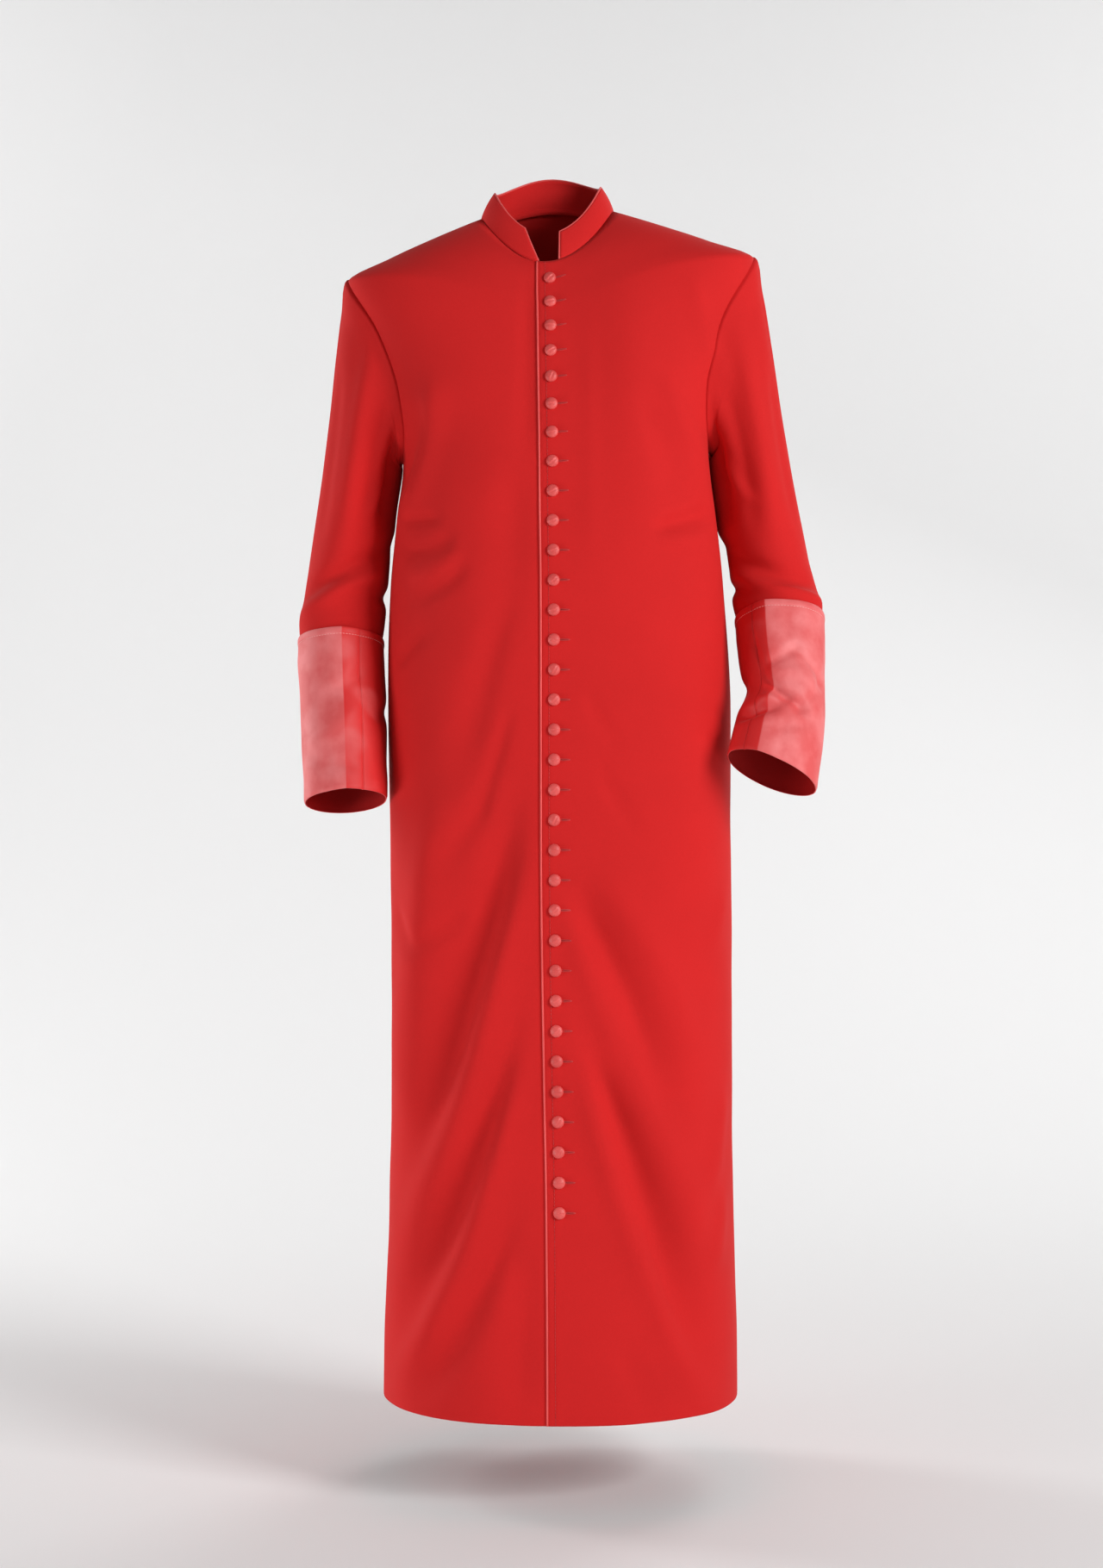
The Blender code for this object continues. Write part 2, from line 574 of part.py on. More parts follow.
def collar_ends(height):
    """The angles of the collar's two front edges at a height on its side."""
    share = (height - COLLAR[0].side) / (COLLAR[1].side - COLLAR[0].side)
    depth = column(COLLAR, "front_depth", "side", height)
    off_centre = COLLAR[0].buttons - COLLAR[0].middle
    left = off_centre + NOTCH_LEFT_BELOW + (NOTCH_LEFT_ABOVE - NOTCH_LEFT_BELOW) * share
    right = off_centre - NOTCH_RIGHT_BELOW - (NOTCH_RIGHT_ABOVE - NOTCH_RIGHT_BELOW) * share
    return FRONT + np.arcsin(left / depth), FRONT + np.arcsin(right / depth) + 2 * math.pi


def collar(material):
    """The stand collar, open in front round a notch."""
    height = np.linspace(COLLAR[0].side, COLLAR[1].side, COLLAR_ROWS + 1)
    left, right = collar_ends(height)
    share = np.linspace(0, 1, COLLAR_COLUMNS)
    turns = left[:, None] + (right - left)[:, None] * share
    heights = np.repeat(height[:, None], COLLAR_COLUMNS, axis=1)
    outer, normal = sheet_points(collar_surface, turns, heights, np.zeros(turns.shape))
    wall_object("collar", outer, outer - COLLAR_CLOTH * normal, material)
    return outer, normal


def edge_step(edge, normal, behind):
    """The steps square off a cloth's edge that set a piping's middle just clear of it."""
    off = np.cross(np.gradient(edge, axis=0), normal)
    off /= np.linalg.norm(off, axis=1, keepdims=True)
    off *= np.sign(((edge - behind) * off).sum(axis=1, keepdims=True))
    return (PIPING_RADIUS + SEAM_GAP) * off


def front_piping(outer, normal, material):
    """The satin piping down the left front's edge."""
    edge = outer[:, 0] - 0.5 * CLOTH * normal[:, 0]
    line = edge + edge_step(edge, normal[:, 0], outer[:, 1])
    return tube_object("front_piping", line, 4, PIPING_RADIUS, material)


def collar_piping(outer, normal, material):
    """The satin piping round the collar's front edges and along its top."""
    middle = outer - 0.5 * COLLAR_CLOTH * normal
    up = edge_step(middle[-1], normal[-1], middle[-2])
    left_way = edge_step(middle[:, 0], normal[:, 0], middle[:, 1])
    right_way = edge_step(middle[:, -1], normal[:, -1], middle[:, -2])
    line = [
        *(middle[:-1, 0] + left_way[:-1]),
        middle[-1, 0] + left_way[-1] + up[0],
        *(middle[-1, 1:-1] + up[1:-1]),
        middle[-1, -1] + right_way[-1] + up[-1],
        *(middle[:-1, -1] + right_way[:-1])[::-1],
    ]
    return tube_object("collar_piping", line, 4, PIPING_RADIUS, material)


def button_profile():
    """Radius and height of a covered button's turned outline, from its flat foot to the top of its dome."""
    return (
        (0.62 * BUTTON_RADIUS, 0.0),
        (BUTTON_RADIUS, 0.30 * BUTTON_HEIGHT),
        (0.80 * BUTTON_RADIUS, 0.72 * BUTTON_HEIGHT),
        (0.36 * BUTTON_RADIUS, 0.96 * BUTTON_HEIGHT),
    )


def button_mesh(material):
    """One domed button, standing on its foot with +Z out of the cloth."""
    profile = button_profile()
    angles = np.arange(BUTTON_SIDES) * 2 * math.pi / BUTTON_SIDES
    points = [
        (radius * math.cos(angle), radius * math.sin(angle), level)
        for radius, level in profile
        for angle in angles
    ]
    faces = [tuple(range(BUTTON_SIDES))[::-1]]
    for i in range(len(profile) - 1):
        for s in range(BUTTON_SIDES):
            t = (s + 1) % BUTTON_SIDES
            a = i * BUTTON_SIDES
            faces.append((a + s, a + t, a + BUTTON_SIDES + t, a + BUTTON_SIDES + s))
    top = (len(profile) - 1) * BUTTON_SIDES
    faces.append(tuple(top + s for s in range(BUTTON_SIDES)))
    mesh = bpy.data.meshes.new("button")
    mesh.from_pydata(points, [], faces)
    mesh.shade_smooth()
    mesh.materials.append(material)
    return mesh


def button_heights():
    """Side seam heights of the buttons, closer together over the chest than below it."""
    gaps = BUTTON_PITCH - (BUTTON_PITCH - BUTTON_PITCH_AT_NECK) * (
        1 - smooth_step(np.arange(BUTTON_COUNT - 1), 0, CLOSE_BUTTONS)
    )
    drops = BODY[-1].front - FIRST_BUTTON_DROP - np.concatenate([[0], np.cumsum(gaps)])
    side = np.linspace(BODY[0].side, BODY[-1].side, 600)
    front = column(BODY, "front", "side", side)
    return np.interp(drops, front, side)


def buttons(material):
    """The covered buttons, each a separate piece standing just off the left front."""
    mesh = button_mesh(material)
    heights = button_heights()
    turns = front_turn(heights, 0.0)
    places, normals = sheet_points(body_surface, turns, heights, np.full(len(heights), -SEAM_GAP))
    for number, (place, normal) in enumerate(zip(places, normals), start=1):
        made = bpy.data.objects.new(f"button_{number:02d}", mesh)
        made.location = place
        made.rotation_mode = "QUATERNION"
        made.rotation_quaternion = direction_turn(normal)
        bpy.context.collection.objects.link(made)


def direction_turn(normal):
    """The rotation that turns +Z to a direction."""
    return Vector(normal).to_track_quat("Z", "Y")


def cloth_material(name, colour, roughness, sheen):
    """A dyed cloth finish."""
    material = bpy.data.materials.new(name)
    material.use_nodes = True
    shader = material.node_tree.nodes["Principled BSDF"]
    shader.inputs["Base Color"].default_value = colour
    shader.inputs["Roughness"].default_value = roughness
    shader.inputs["Metallic"].default_value = 0.0
    shader.inputs["Sheen Weight"].default_value = sheen
    material.diffuse_color = colour
    return material


def main():
    """Clears the scene and builds the cassock's pieces."""
    for old in list(bpy.data.objects):
        bpy.data.objects.remove(old)
    red = cloth_material("red_cloth", CLOTH_RED, 0.75, 0.25)
    satin = cloth_material("pink_satin", SATIN_PINK, 0.38, 0.1)
    front_outer, front_normal = left_front(red)
    right_front(red)
    back(red)
    sleeve("left_sleeve", LEFT_ARM, LEFT_CREASES, 1, red)
    sleeve("right_sleeve", RIGHT_ARM, RIGHT_CREASES, -1, red)
    cuff("left_cuff", LEFT_ARM, 1, satin)
    cuff("right_cuff", RIGHT_ARM, -1, satin)
    collar_outer, collar_normal = collar(red)
    front_piping(front_outer, front_normal, satin)
    collar_piping(collar_outer, collar_normal, satin)
    buttons(satin)


main()
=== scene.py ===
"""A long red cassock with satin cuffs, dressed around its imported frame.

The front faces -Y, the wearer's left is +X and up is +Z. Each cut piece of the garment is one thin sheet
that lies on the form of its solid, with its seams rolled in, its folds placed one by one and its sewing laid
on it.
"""

import logging
import math
from dataclasses import dataclass, field
from enum import Enum
from typing import Callable, NamedTuple, Sequence

import bpy
import numpy as np
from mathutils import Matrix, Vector


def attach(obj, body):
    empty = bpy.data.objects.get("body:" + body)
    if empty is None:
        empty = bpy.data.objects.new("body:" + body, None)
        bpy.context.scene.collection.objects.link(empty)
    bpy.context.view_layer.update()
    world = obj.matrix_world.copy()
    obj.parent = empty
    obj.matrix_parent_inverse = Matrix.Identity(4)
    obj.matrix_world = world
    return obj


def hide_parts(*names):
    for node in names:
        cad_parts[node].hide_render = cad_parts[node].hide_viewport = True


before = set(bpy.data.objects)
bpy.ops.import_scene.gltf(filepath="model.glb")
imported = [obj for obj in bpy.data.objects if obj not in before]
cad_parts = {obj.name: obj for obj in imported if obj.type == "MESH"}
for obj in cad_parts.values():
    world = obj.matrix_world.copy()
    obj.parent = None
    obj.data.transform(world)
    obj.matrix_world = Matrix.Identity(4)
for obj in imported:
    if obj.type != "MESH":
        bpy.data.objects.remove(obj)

LOG = logging.getLogger("cassock")
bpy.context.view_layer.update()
Points = np.ndarray

FRONT = math.radians(-90)
HALF_TURN = math.pi
ARM_RADIUS = 0.054


class Hand(Enum):
    """The wearer's sides. The value is the sign of X there."""

    LEFT = 1
    RIGHT = -1


class Slot(Enum):
    """The record's material slots."""

    CLOTH = "red_cloth"
    SATIN = "pink_satin"
    BUTTON = "covered_button"


class Held(Enum):
    """How a sheet of cloth is held."""

    HUNG = "hung"
    STRETCHED = "stretched"


# Tables of the garment's form


class Section(NamedTuple):
    """One level section of the body or collar, in metres."""

    name: str
    side: float
    front: float
    back: float
    middle: float
    buttons: float
    half_width: float
    front_depth: float
    back_depth: float
    power: float


class Fold(NamedTuple):
    """A soft fold from one place to another: its bow to the side, how far it stands out and its width."""

    name: str
    x0: float
    z0: float
    x1: float
    z1: float
    bow: float
    out: float
    width: float


class Flute(NamedTuple):
    """A flute that runs down the skirt and opens towards the hem."""

    name: str
    turn: float
    starts_at: float
    out: float
    width: float


class Ring(NamedTuple):
    """A ring of a sleeve: its middle, half sizes across and deep, and its lean and pitch in degrees."""

    name: str
    x: float
    y: float
    z: float
    half_across: float
    half_deep: float
    lean: float
    pitch: float


class Crease(NamedTuple):
    """A crease of a sleeve or cuff, from one turn in degrees and height to another."""

    name: str
    turn0: float
    z0: float
    turn1: float
    z1: float
    bow: float
    out: float
    width: float


BODY = (
    Section("hem", -1.4440, -1.4450, -1.4415, 0.0095, 0.0085, 0.2160, 0.190, 0.222, 2.25),
    Section("ankle", -1.3600, -1.3600, -1.3600, 0.0095, 0.0082, 0.2150, 0.187, 0.213, 2.25),
    Section("calf", -1.2000, -1.2000, -1.2000, 0.0100, 0.0073, 0.2100, 0.180, 0.194, 2.25),
    Section("knee", -1.0400, -1.0400, -1.0400, 0.0105, 0.0045, 0.2085, 0.174, 0.174, 2.30),
    Section("thigh", -0.8800, -0.8800, -0.8800, 0.0105, 0.0022, 0.2080, 0.170, 0.158, 2.35),
    Section("hip", -0.7400, -0.7400, -0.7400, 0.0090, 0.0012, 0.2090, 0.167, 0.146, 2.40),
    Section("waist", -0.6000, -0.6000, -0.6000, 0.0075, 0.0010, 0.2095, 0.162, 0.130, 2.40),
    Section("ribs", -0.4600, -0.4600, -0.4600, 0.0045, 0.0005, 0.2035, 0.154, 0.123, 2.45),
    Section("below_arm", -0.3700, -0.3750, -0.3700, 0.0035, -0.0005, 0.1950, 0.147, 0.123, 2.50),
    Section("armpit", -0.3000, -0.3120, -0.2950, 0.0030, -0.0010, 0.1870, 0.141, 0.125, 2.60),
    Section("chest", -0.2200, -0.2450, -0.2050, 0.0000, -0.0020, 0.2010, 0.132, 0.125, 2.70),
    Section("blades", -0.1400, -0.1780, -0.1250, -0.0025, -0.0030, 0.2280, 0.118, 0.117, 2.60),
    Section("shoulder", -0.0715, -0.1280, -0.0600, -0.0025, -0.0035, 0.2495, 0.104, 0.100, 2.55),
    Section("yoke", -0.0452, -0.1050, -0.0230, -0.0050, -0.0040, 0.1970, 0.096, 0.088, 2.30),
    Section("neck_base", -0.0215, -0.0870, 0.0020, -0.0065, -0.0040, 0.1388, 0.090, 0.077, 2.15),
    Section("neckline", 0.0000, -0.0715, 0.0200, -0.0070, -0.0040, 0.0815, 0.084, 0.068, 2.10),
)
COLLAR = (
    Section("collar_base", 0.0006, -0.0709, 0.0206, -0.0070, -0.0040, 0.0815, 0.084, 0.068, 2.10),
    Section("collar_top", 0.0300, -0.0370, 0.0560, -0.0065, -0.0040, 0.0665, 0.073, 0.062, 2.10),
)

FRONT_FOLDS = (
    Fold("right_waist_trough", -0.083, -0.710, -0.139, -0.811, 0.000, -0.0045, 0.014),
    Fold("right_thigh_hollow", -0.062, -0.720, -0.158, -1.120, 0.000, -0.0080, 0.040),
    Fold("right_side_swell", -0.140, -0.715, -0.180, -1.120, 0.000, 0.0120, 0.027),
    Fold("right_thigh_trough", -0.040, -0.685, -0.196, -1.235, -0.011, -0.0125, 0.024),
    Fold("right_knee_ridge", -0.030, -0.780, -0.186, -1.260, -0.011, 0.0100, 0.022),
    Fold("right_knee_trough", -0.042, -0.950, -0.212, -1.395, -0.018, -0.0130, 0.021),
    Fold("right_calf_ridge", -0.040, -1.020, -0.192, -1.430, -0.020, 0.0105, 0.019),
    Fold("right_calf_trough", -0.042, -1.195, -0.160, -1.425, -0.004, -0.0080, 0.016),
    Fold("right_shin_ridge", -0.028, -1.245, -0.108, -1.415, 0.000, 0.0045, 0.022),
    Fold("right_edge_hollow", -0.036, -1.230, -0.044, -1.445, 0.000, -0.0065, 0.020),
    Fold("right_hand_crease_outer", -0.190, -0.848, -0.160, -0.897, 0.000, -0.0050, 0.009),
    Fold("right_hand_crease_inner", -0.160, -0.897, -0.112, -0.853, 0.000, -0.0050, 0.009),
    Fold("right_side_crease", -0.191, -0.556, -0.150, -0.512, 0.000, -0.0045, 0.010),
    Fold("left_hip_crease", 0.050, -0.675, 0.106, -0.765, 0.000, -0.0042, 0.011),
    Fold("left_thigh_trough", 0.020, -0.812, 0.146, -1.085, -0.013, -0.0140, 0.024),
    Fold("left_thigh_crest", 0.008, -0.840, 0.074, -1.010, 0.000, 0.0050, 0.014),
    Fold("left_thigh_ridge", 0.055, -0.800, 0.156, -1.030, -0.012, 0.0085, 0.025),
    Fold("left_knee_trough", 0.034, -0.975, 0.176, -1.395, -0.010, -0.0150, 0.024),
    Fold("left_knee_crest", 0.028, -1.000, 0.196, -1.465, 0.019, 0.0090, 0.016),
    Fold("left_calf_ridge", 0.078, -1.020, 0.180, -1.260, -0.004, 0.0075, 0.023),
    Fold("left_hem_hollow", 0.080, -1.350, 0.118, -1.445, 0.000, -0.0045, 0.018),
    Fold("left_side_ridge_high", 0.206, -0.829, 0.190, -0.895, 0.000, 0.0030, 0.010),
    Fold("left_side_ridge_knee", 0.206, -1.064, 0.190, -1.180, 0.000, 0.0045, 0.010),
    Fold("left_side_ridge_low", 0.205, -1.190, 0.193, -1.277, 0.000, 0.0035, 0.010),
    Fold("right_armpit_drag", -0.182, -0.395, -0.140, -0.215, 0.006, 0.0100, 0.016),
    Fold("right_armpit_hollow", -0.186, -0.350, -0.155, -0.250, 0.004, -0.0070, 0.016),
    Fold("right_rib_crease_high", -0.180, -0.381, -0.136, -0.385, 0.000, -0.0045, 0.007),
    Fold("right_rib_crease_middle", -0.175, -0.421, -0.120, -0.408, 0.004, -0.0050, 0.009),
    Fold("right_rib_ridge", -0.172, -0.450, -0.110, -0.428, 0.004, 0.0035, 0.010),
    Fold("right_rib_crease_low", -0.168, -0.480, -0.105, -0.438, 0.006, -0.0045, 0.010),
    Fold("right_edge_shade", -0.031, -0.085, -0.032, -0.330, 0.000, -0.0030, 0.012),
    Fold("right_rib_trough", -0.048, -0.330, -0.058, -0.520, 0.000, -0.0055, 0.024),
    Fold("right_waist_hollow", -0.058, -0.490, -0.112, -0.680, 0.000, -0.0055, 0.019),
    Fold("right_waist_crease", -0.050, -0.610, -0.096, -0.755, 0.000, -0.0040, 0.010),
    Fold("left_waist_crease", 0.038, -0.595, 0.082, -0.662, 0.000, -0.0035, 0.010),
    Fold("left_breast_swell", 0.085, -0.110, 0.105, -0.430, 0.000, 0.0065, 0.036),
    Fold("left_placket_ridge", 0.042, -0.130, 0.045, -0.460, 0.000, 0.0014, 0.011),
    Fold("left_breast_ridge", 0.128, -0.225, 0.184, -0.338, -0.004, 0.0070, 0.016),
    Fold("left_breast_hollow", 0.098, -0.240, 0.150, -0.360, -0.004, -0.0040, 0.018),
    Fold("left_rib_fold", 0.118, -0.394, 0.194, -0.369, 0.003, -0.0080, 0.010),
    Fold("left_rib_ridge", 0.130, -0.412, 0.190, -0.402, 0.003, 0.0040, 0.012),
    Fold("left_shoulder_drag", 0.163, -0.091, 0.194, -0.204, 0.000, 0.0045, 0.013),
)
BACK_FOLDS = (
    Fold("left_seat_trough", 0.030, -0.640, 0.110, -0.900, 0.006, -0.0094, 0.024),
    Fold("right_seat_trough", -0.040, -0.600, -0.120, -0.880, -0.006, -0.0094, 0.024),
    Fold("left_seat_ridge", 0.012, -0.700, 0.070, -0.980, 0.004, 0.0080, 0.022),
    Fold("right_seat_ridge", -0.016, -0.660, -0.080, -0.960, -0.004, 0.0087, 0.022),
    Fold("left_blade_fold", 0.150, -0.290, 0.085, -0.480, 0.004, 0.0080, 0.020),
    Fold("right_blade_fold", -0.145, -0.280, -0.080, -0.460, -0.004, 0.0080, 0.020),
    Fold("left_blade_hollow", 0.125, -0.300, 0.060, -0.450, 0.004, -0.0051, 0.018),
    Fold("right_blade_hollow", -0.115, -0.300, -0.055, -0.440, -0.004, -0.0051, 0.018),
    Fold("left_waist_crease", 0.180, -0.520, 0.100, -0.565, 0.004, -0.0058, 0.012),
    Fold("right_waist_crease", -0.176, -0.480, -0.095, -0.535, -0.004, -0.0058, 0.012),
    Fold("left_waist_ridge", 0.180, -0.555, 0.095, -0.615, 0.004, 0.0051, 0.014),
    Fold("right_waist_ridge", -0.176, -0.520, -0.090, -0.585, -0.004, 0.0051, 0.014),
)
FLUTES = (
    Flute("left_side_flute", math.radians(27), -0.70, 0.009, math.radians(12)),
    Flute("left_back_flute", math.radians(60), -0.64, 0.018, math.radians(13)),
    Flute("centre_back_hollow", math.radians(88), -0.70, -0.012, math.radians(12)),
    Flute("right_back_flute", math.radians(116), -0.66, 0.019, math.radians(13)),
    Flute("right_side_flute", math.radians(151), -0.74, 0.010, math.radians(12)),
)

LEFT_ARM = (
    Ring("biceps", 0.2480, 0.002, -0.3280, 0.0470, 0.066, -4, -2),
    Ring("upper_arm", 0.2560, 0.004, -0.3760, 0.0480, 0.064, -6, 0),
    Ring("above_elbow", 0.2655, 0.004, -0.4290, 0.0490, 0.060, -8, 4),
    Ring("elbow", 0.2725, -0.006, -0.4720, 0.0525, 0.056, -5, 14),
    Ring("cuff_top", 0.2765, -0.020, -0.4960, 0.0530, 0.055, -1, 20),
    Ring("cuff_upper", 0.2770, -0.045, -0.5480, 0.0500, 0.054, 0, 24),
    Ring("cuff_kink", 0.2795, -0.070, -0.5960, 0.0470, 0.052, 6, 24),
    Ring("cuff_lower", 0.2725, -0.088, -0.6300, 0.0525, 0.052, 15, 22),
    Ring("wrist", 0.2600, -0.110, -0.6854, 0.0565, 0.052, 22, 20),
)
RIGHT_ARM = (
    Ring("biceps", -0.2400, 0.004, -0.3400, 0.0465, 0.066, -4, -2),
    Ring("upper_arm", -0.2455, 0.006, -0.3850, 0.0475, 0.064, -6, 0),
    Ring("above_elbow", -0.2520, 0.008, -0.4400, 0.0495, 0.060, -6, 2),
    Ring("elbow", -0.2570, 0.003, -0.4900, 0.0510, 0.057, -4, 9),
    Ring("cuff_top", -0.2600, -0.006, -0.5230, 0.0510, 0.055, 0, 14),
    Ring("cuff_upper", -0.2580, -0.020, -0.5750, 0.0505, 0.054, 1, 15),
    Ring("cuff_middle", -0.2550, -0.035, -0.6260, 0.0510, 0.053, 2, 16),
    Ring("cuff_lower", -0.2525, -0.050, -0.6740, 0.0500, 0.053, 3, 16),
    Ring("wrist", -0.2500, -0.066, -0.7195, 0.0488, 0.052, 4, 16),
)
LEFT_SLEEVE_CREASES = (
    Crease("armpit_hollow", 34, -0.230, 26, -0.400, 0.000, -0.0100, 0.015),
    Crease("elbow_trough", 10, -0.415, 165, -0.462, 0.004, -0.0060, 0.011),
    Crease("elbow_ridge", 15, -0.440, 175, -0.484, 0.003, 0.0060, 0.011),
    Crease("over_cuff_trough", 60, -0.484, 150, -0.500, 0.000, -0.0035, 0.007),
    Crease("inner_elbow_tuck", -40, -0.452, 50, -0.462, 0.004, -0.0055, 0.008),
    Crease("upper_front_ridge", 120, -0.130, 100, -0.400, 0.004, 0.0045, 0.012),
    Crease("upper_front_trough", 85, -0.200, 70, -0.400, 0.003, -0.0045, 0.012),
    Crease("upper_outer_trough", 150, -0.180, 140, -0.400, 0.003, -0.0030, 0.012),
    Crease("underarm_drag", 40, -0.300, 75, -0.360, 0.004, 0.0040, 0.009),
    Crease("back_elbow_trough", 200, -0.470, 300, -0.430, 0.004, -0.0050, 0.012),
    Crease("back_elbow_ridge", 195, -0.440, 290, -0.395, 0.004, 0.0045, 0.012),
    Crease("back_upper_ridge", 250, -0.180, 265, -0.400, 0.004, 0.0040, 0.013),
)
RIGHT_SLEEVE_CREASES = (
    Crease("armpit_hollow", 36, -0.200, 28, -0.410, 0.000, -0.0130, 0.016),
    Crease("elbow_trough", 8, -0.408, 160, -0.478, -0.006, -0.0065, 0.011),
    Crease("elbow_ridge", 20, -0.436, 175, -0.502, -0.004, 0.0060, 0.012),
    Crease("over_cuff_trough", 50, -0.505, 150, -0.518, 0.000, -0.0035, 0.008),
    Crease("inner_elbow_tuck", -50, -0.462, 40, -0.470, 0.004, -0.0050, 0.009),
    Crease("upper_front_ridge", 112, -0.150, 95, -0.420, 0.004, 0.0045, 0.012),
    Crease("upper_front_trough", 78, -0.220, 66, -0.420, 0.003, -0.0045, 0.012),
    Crease("upper_outer_trough", 146, -0.180, 138, -0.420, 0.003, -0.0030, 0.012),
    Crease("underarm_drag", 35, -0.310, 70, -0.380, 0.004, 0.0040, 0.009),
    Crease("back_elbow_trough", 205, -0.490, 305, -0.440, 0.004, -0.0050, 0.012),
    Crease("back_elbow_ridge", 200, -0.460, 295, -0.405, 0.004, 0.0045, 0.012),
    Crease("back_upper_ridge", 255, -0.190, 268, -0.420, 0.004, 0.0040, 0.013),
)
LEFT_CUFF_CREASES = (
    Crease("kink_wedge", 56, -0.576, 126, -0.616, 0.000, -0.0090, 0.0070),
    Crease("kink_bump", 50, -0.597, 108, -0.607, 0.000, 0.0045, 0.0065),
    Crease("kink_tuck", 8, -0.620, 94, -0.602, 0.002, -0.0095, 0.0070),
    Crease("arch_rise", 58, -0.560, 112, -0.532, 0.000, -0.0034, 0.0065),
    Crease("arch_fall", 98, -0.532, 160, -0.588, -0.004, -0.0034, 0.0065),
    Crease("under_arch", 75, -0.566, 138, -0.588, -0.010, 0.0022, 0.0080),
    Crease("inner_kink_drag", 46, -0.520, 60, -0.590, 0.000, -0.0030, 0.0060),
    Crease("below_kink_trough", 78, -0.632, 140, -0.622, 0.003, -0.0018, 0.0080),
    Crease("outer_trough", 120, -0.600, 175, -0.560, 0.000, -0.0025, 0.009),
    Crease("under_kink", -60, -0.585, 20, -0.580, 0.004, -0.0040, 0.009),
    Crease("back_trough", 200, -0.560, 290, -0.600, 0.004, -0.0030, 0.011),
)
RIGHT_CUFF_CREASES = (
    Crease("front_soft_trough", 55, -0.560, 120, -0.600, 0.004, -0.0022, 0.011),
    Crease("front_soft_ridge", 60, -0.600, 140, -0.655, 0.004, 0.0020, 0.013),
    Crease("low_trough", 70, -0.680, 150, -0.660, 0.003, -0.0022, 0.010),
    Crease("inner_tuck", -40, -0.600, 45, -0.620, 0.004, -0.0030, 0.010),
    Crease("back_trough", 210, -0.600, 300, -0.650, 0.004, -0.0030, 0.012),
)


# Curves and meshes


def smooth_step(value: Points | float, low: float, high: float) -> Points:
    """Rises from 0 at low to 1 at high with level ends."""
    share = np.clip((np.asarray(value, float) - low) / (high - low), 0.0, 1.0)
    return share * share * (3.0 - 2.0 * share)


def unit(vectors: Points) -> Points:
    """The vectors at length 1."""
    return vectors / np.linalg.norm(vectors, axis=-1, keepdims=True)


def monotone_curve(knots: Sequence[float], values: Sequence[float], at: Points) -> Points:
    """Reads a cubic curve that never swings past its knots.

    Args:
        knots: Where the values stand, rising.
        values: The values there.
        at: The places to read.

    Returns:
        The curve's values at those places.
    """
    knots, values, at = (np.asarray(a, float) for a in (knots, values, at))
    steps = np.diff(knots)
    slopes = np.diff(values) / steps
    tangents = np.concatenate([slopes[:1], np.zeros(len(knots) - 2), slopes[-1:]])
    for i in range(1, len(knots) - 1):
        if slopes[i - 1] * slopes[i] > 0:
            weight_a = 2 * steps[i] + steps[i - 1]
            weight_b = steps[i] + 2 * steps[i - 1]
            tangents[i] = (weight_a + weight_b) / (weight_a / slopes[i - 1] + weight_b / slopes[i])
    cell = np.clip(np.searchsorted(knots, at) - 1, 0, len(steps) - 1)
    t = (at - knots[cell]) / steps[cell]
    return (
        values[cell] * (1 + 2 * t) * (1 - t) ** 2
        + values[cell + 1] * t * t * (3 - 2 * t)
        + steps[cell] * (tangents[cell] * t * (1 - t) ** 2 + tangents[cell + 1] * t * t * (t - 1))
    )


def fold_height(across: Points, up: Points, folds: Sequence[Fold]) -> Points:
    """How far a set of folds pushes the cloth out.

    Args:
        across: Places across the cloth, in metres.
        up: Places up it.
        folds: The folds.

    Returns:
        The push at each place, in metres.
    """
    total = np.zeros(np.broadcast(across, up).shape)
    for fold in folds:
        run_x, run_z = fold.x1 - fold.x0, fold.z1 - fold.z0
        length = math.hypot(run_x, run_z)
        along = ((across - fold.x0) * run_x + (up - fold.z0) * run_z) / length
        beside = ((across - fold.x0) * run_z - (up - fold.z0) * run_x) / length
        share = np.clip(along / length, 0, 1)
        beside = beside - 4 * fold.bow * share * (1 - share)
        fade = smooth_step(along, -1.0 * fold.width, 0.26 * length) * (
            1 - smooth_step(along, 0.72 * length, length + 1.2 * fold.width)
        )
        width = fold.width * (0.8 + 0.4 * share)
        total = total + fold.out * fade * np.exp(-((beside / width) ** 2))
    return total


def ripple(across: Points, up: Points, size: float) -> Points:
    """Low, uneven waves such as hanging cloth has, between the main folds.

    Args:
        across: Places across the cloth, in metres.
        up: Places up it.
        size: Height of the waves.

    Returns:
        The push at each place, in metres.
    """
    waves = (
        (47.0, 9.0, 0.4, 1.0),
        (31.0, -14.0, 1.9, 0.9),
        (73.0, 21.0, 2.7, 0.45),
        (19.0, 33.0, 4.1, 0.5),
        (96.0, -38.0, 0.9, 0.25),
        (58.0, 67.0, 5.3, 0.22),
    )
    total = sum(share * np.sin(a * across + b * up + phase) for a, b, phase, share in waves)
    return size * total


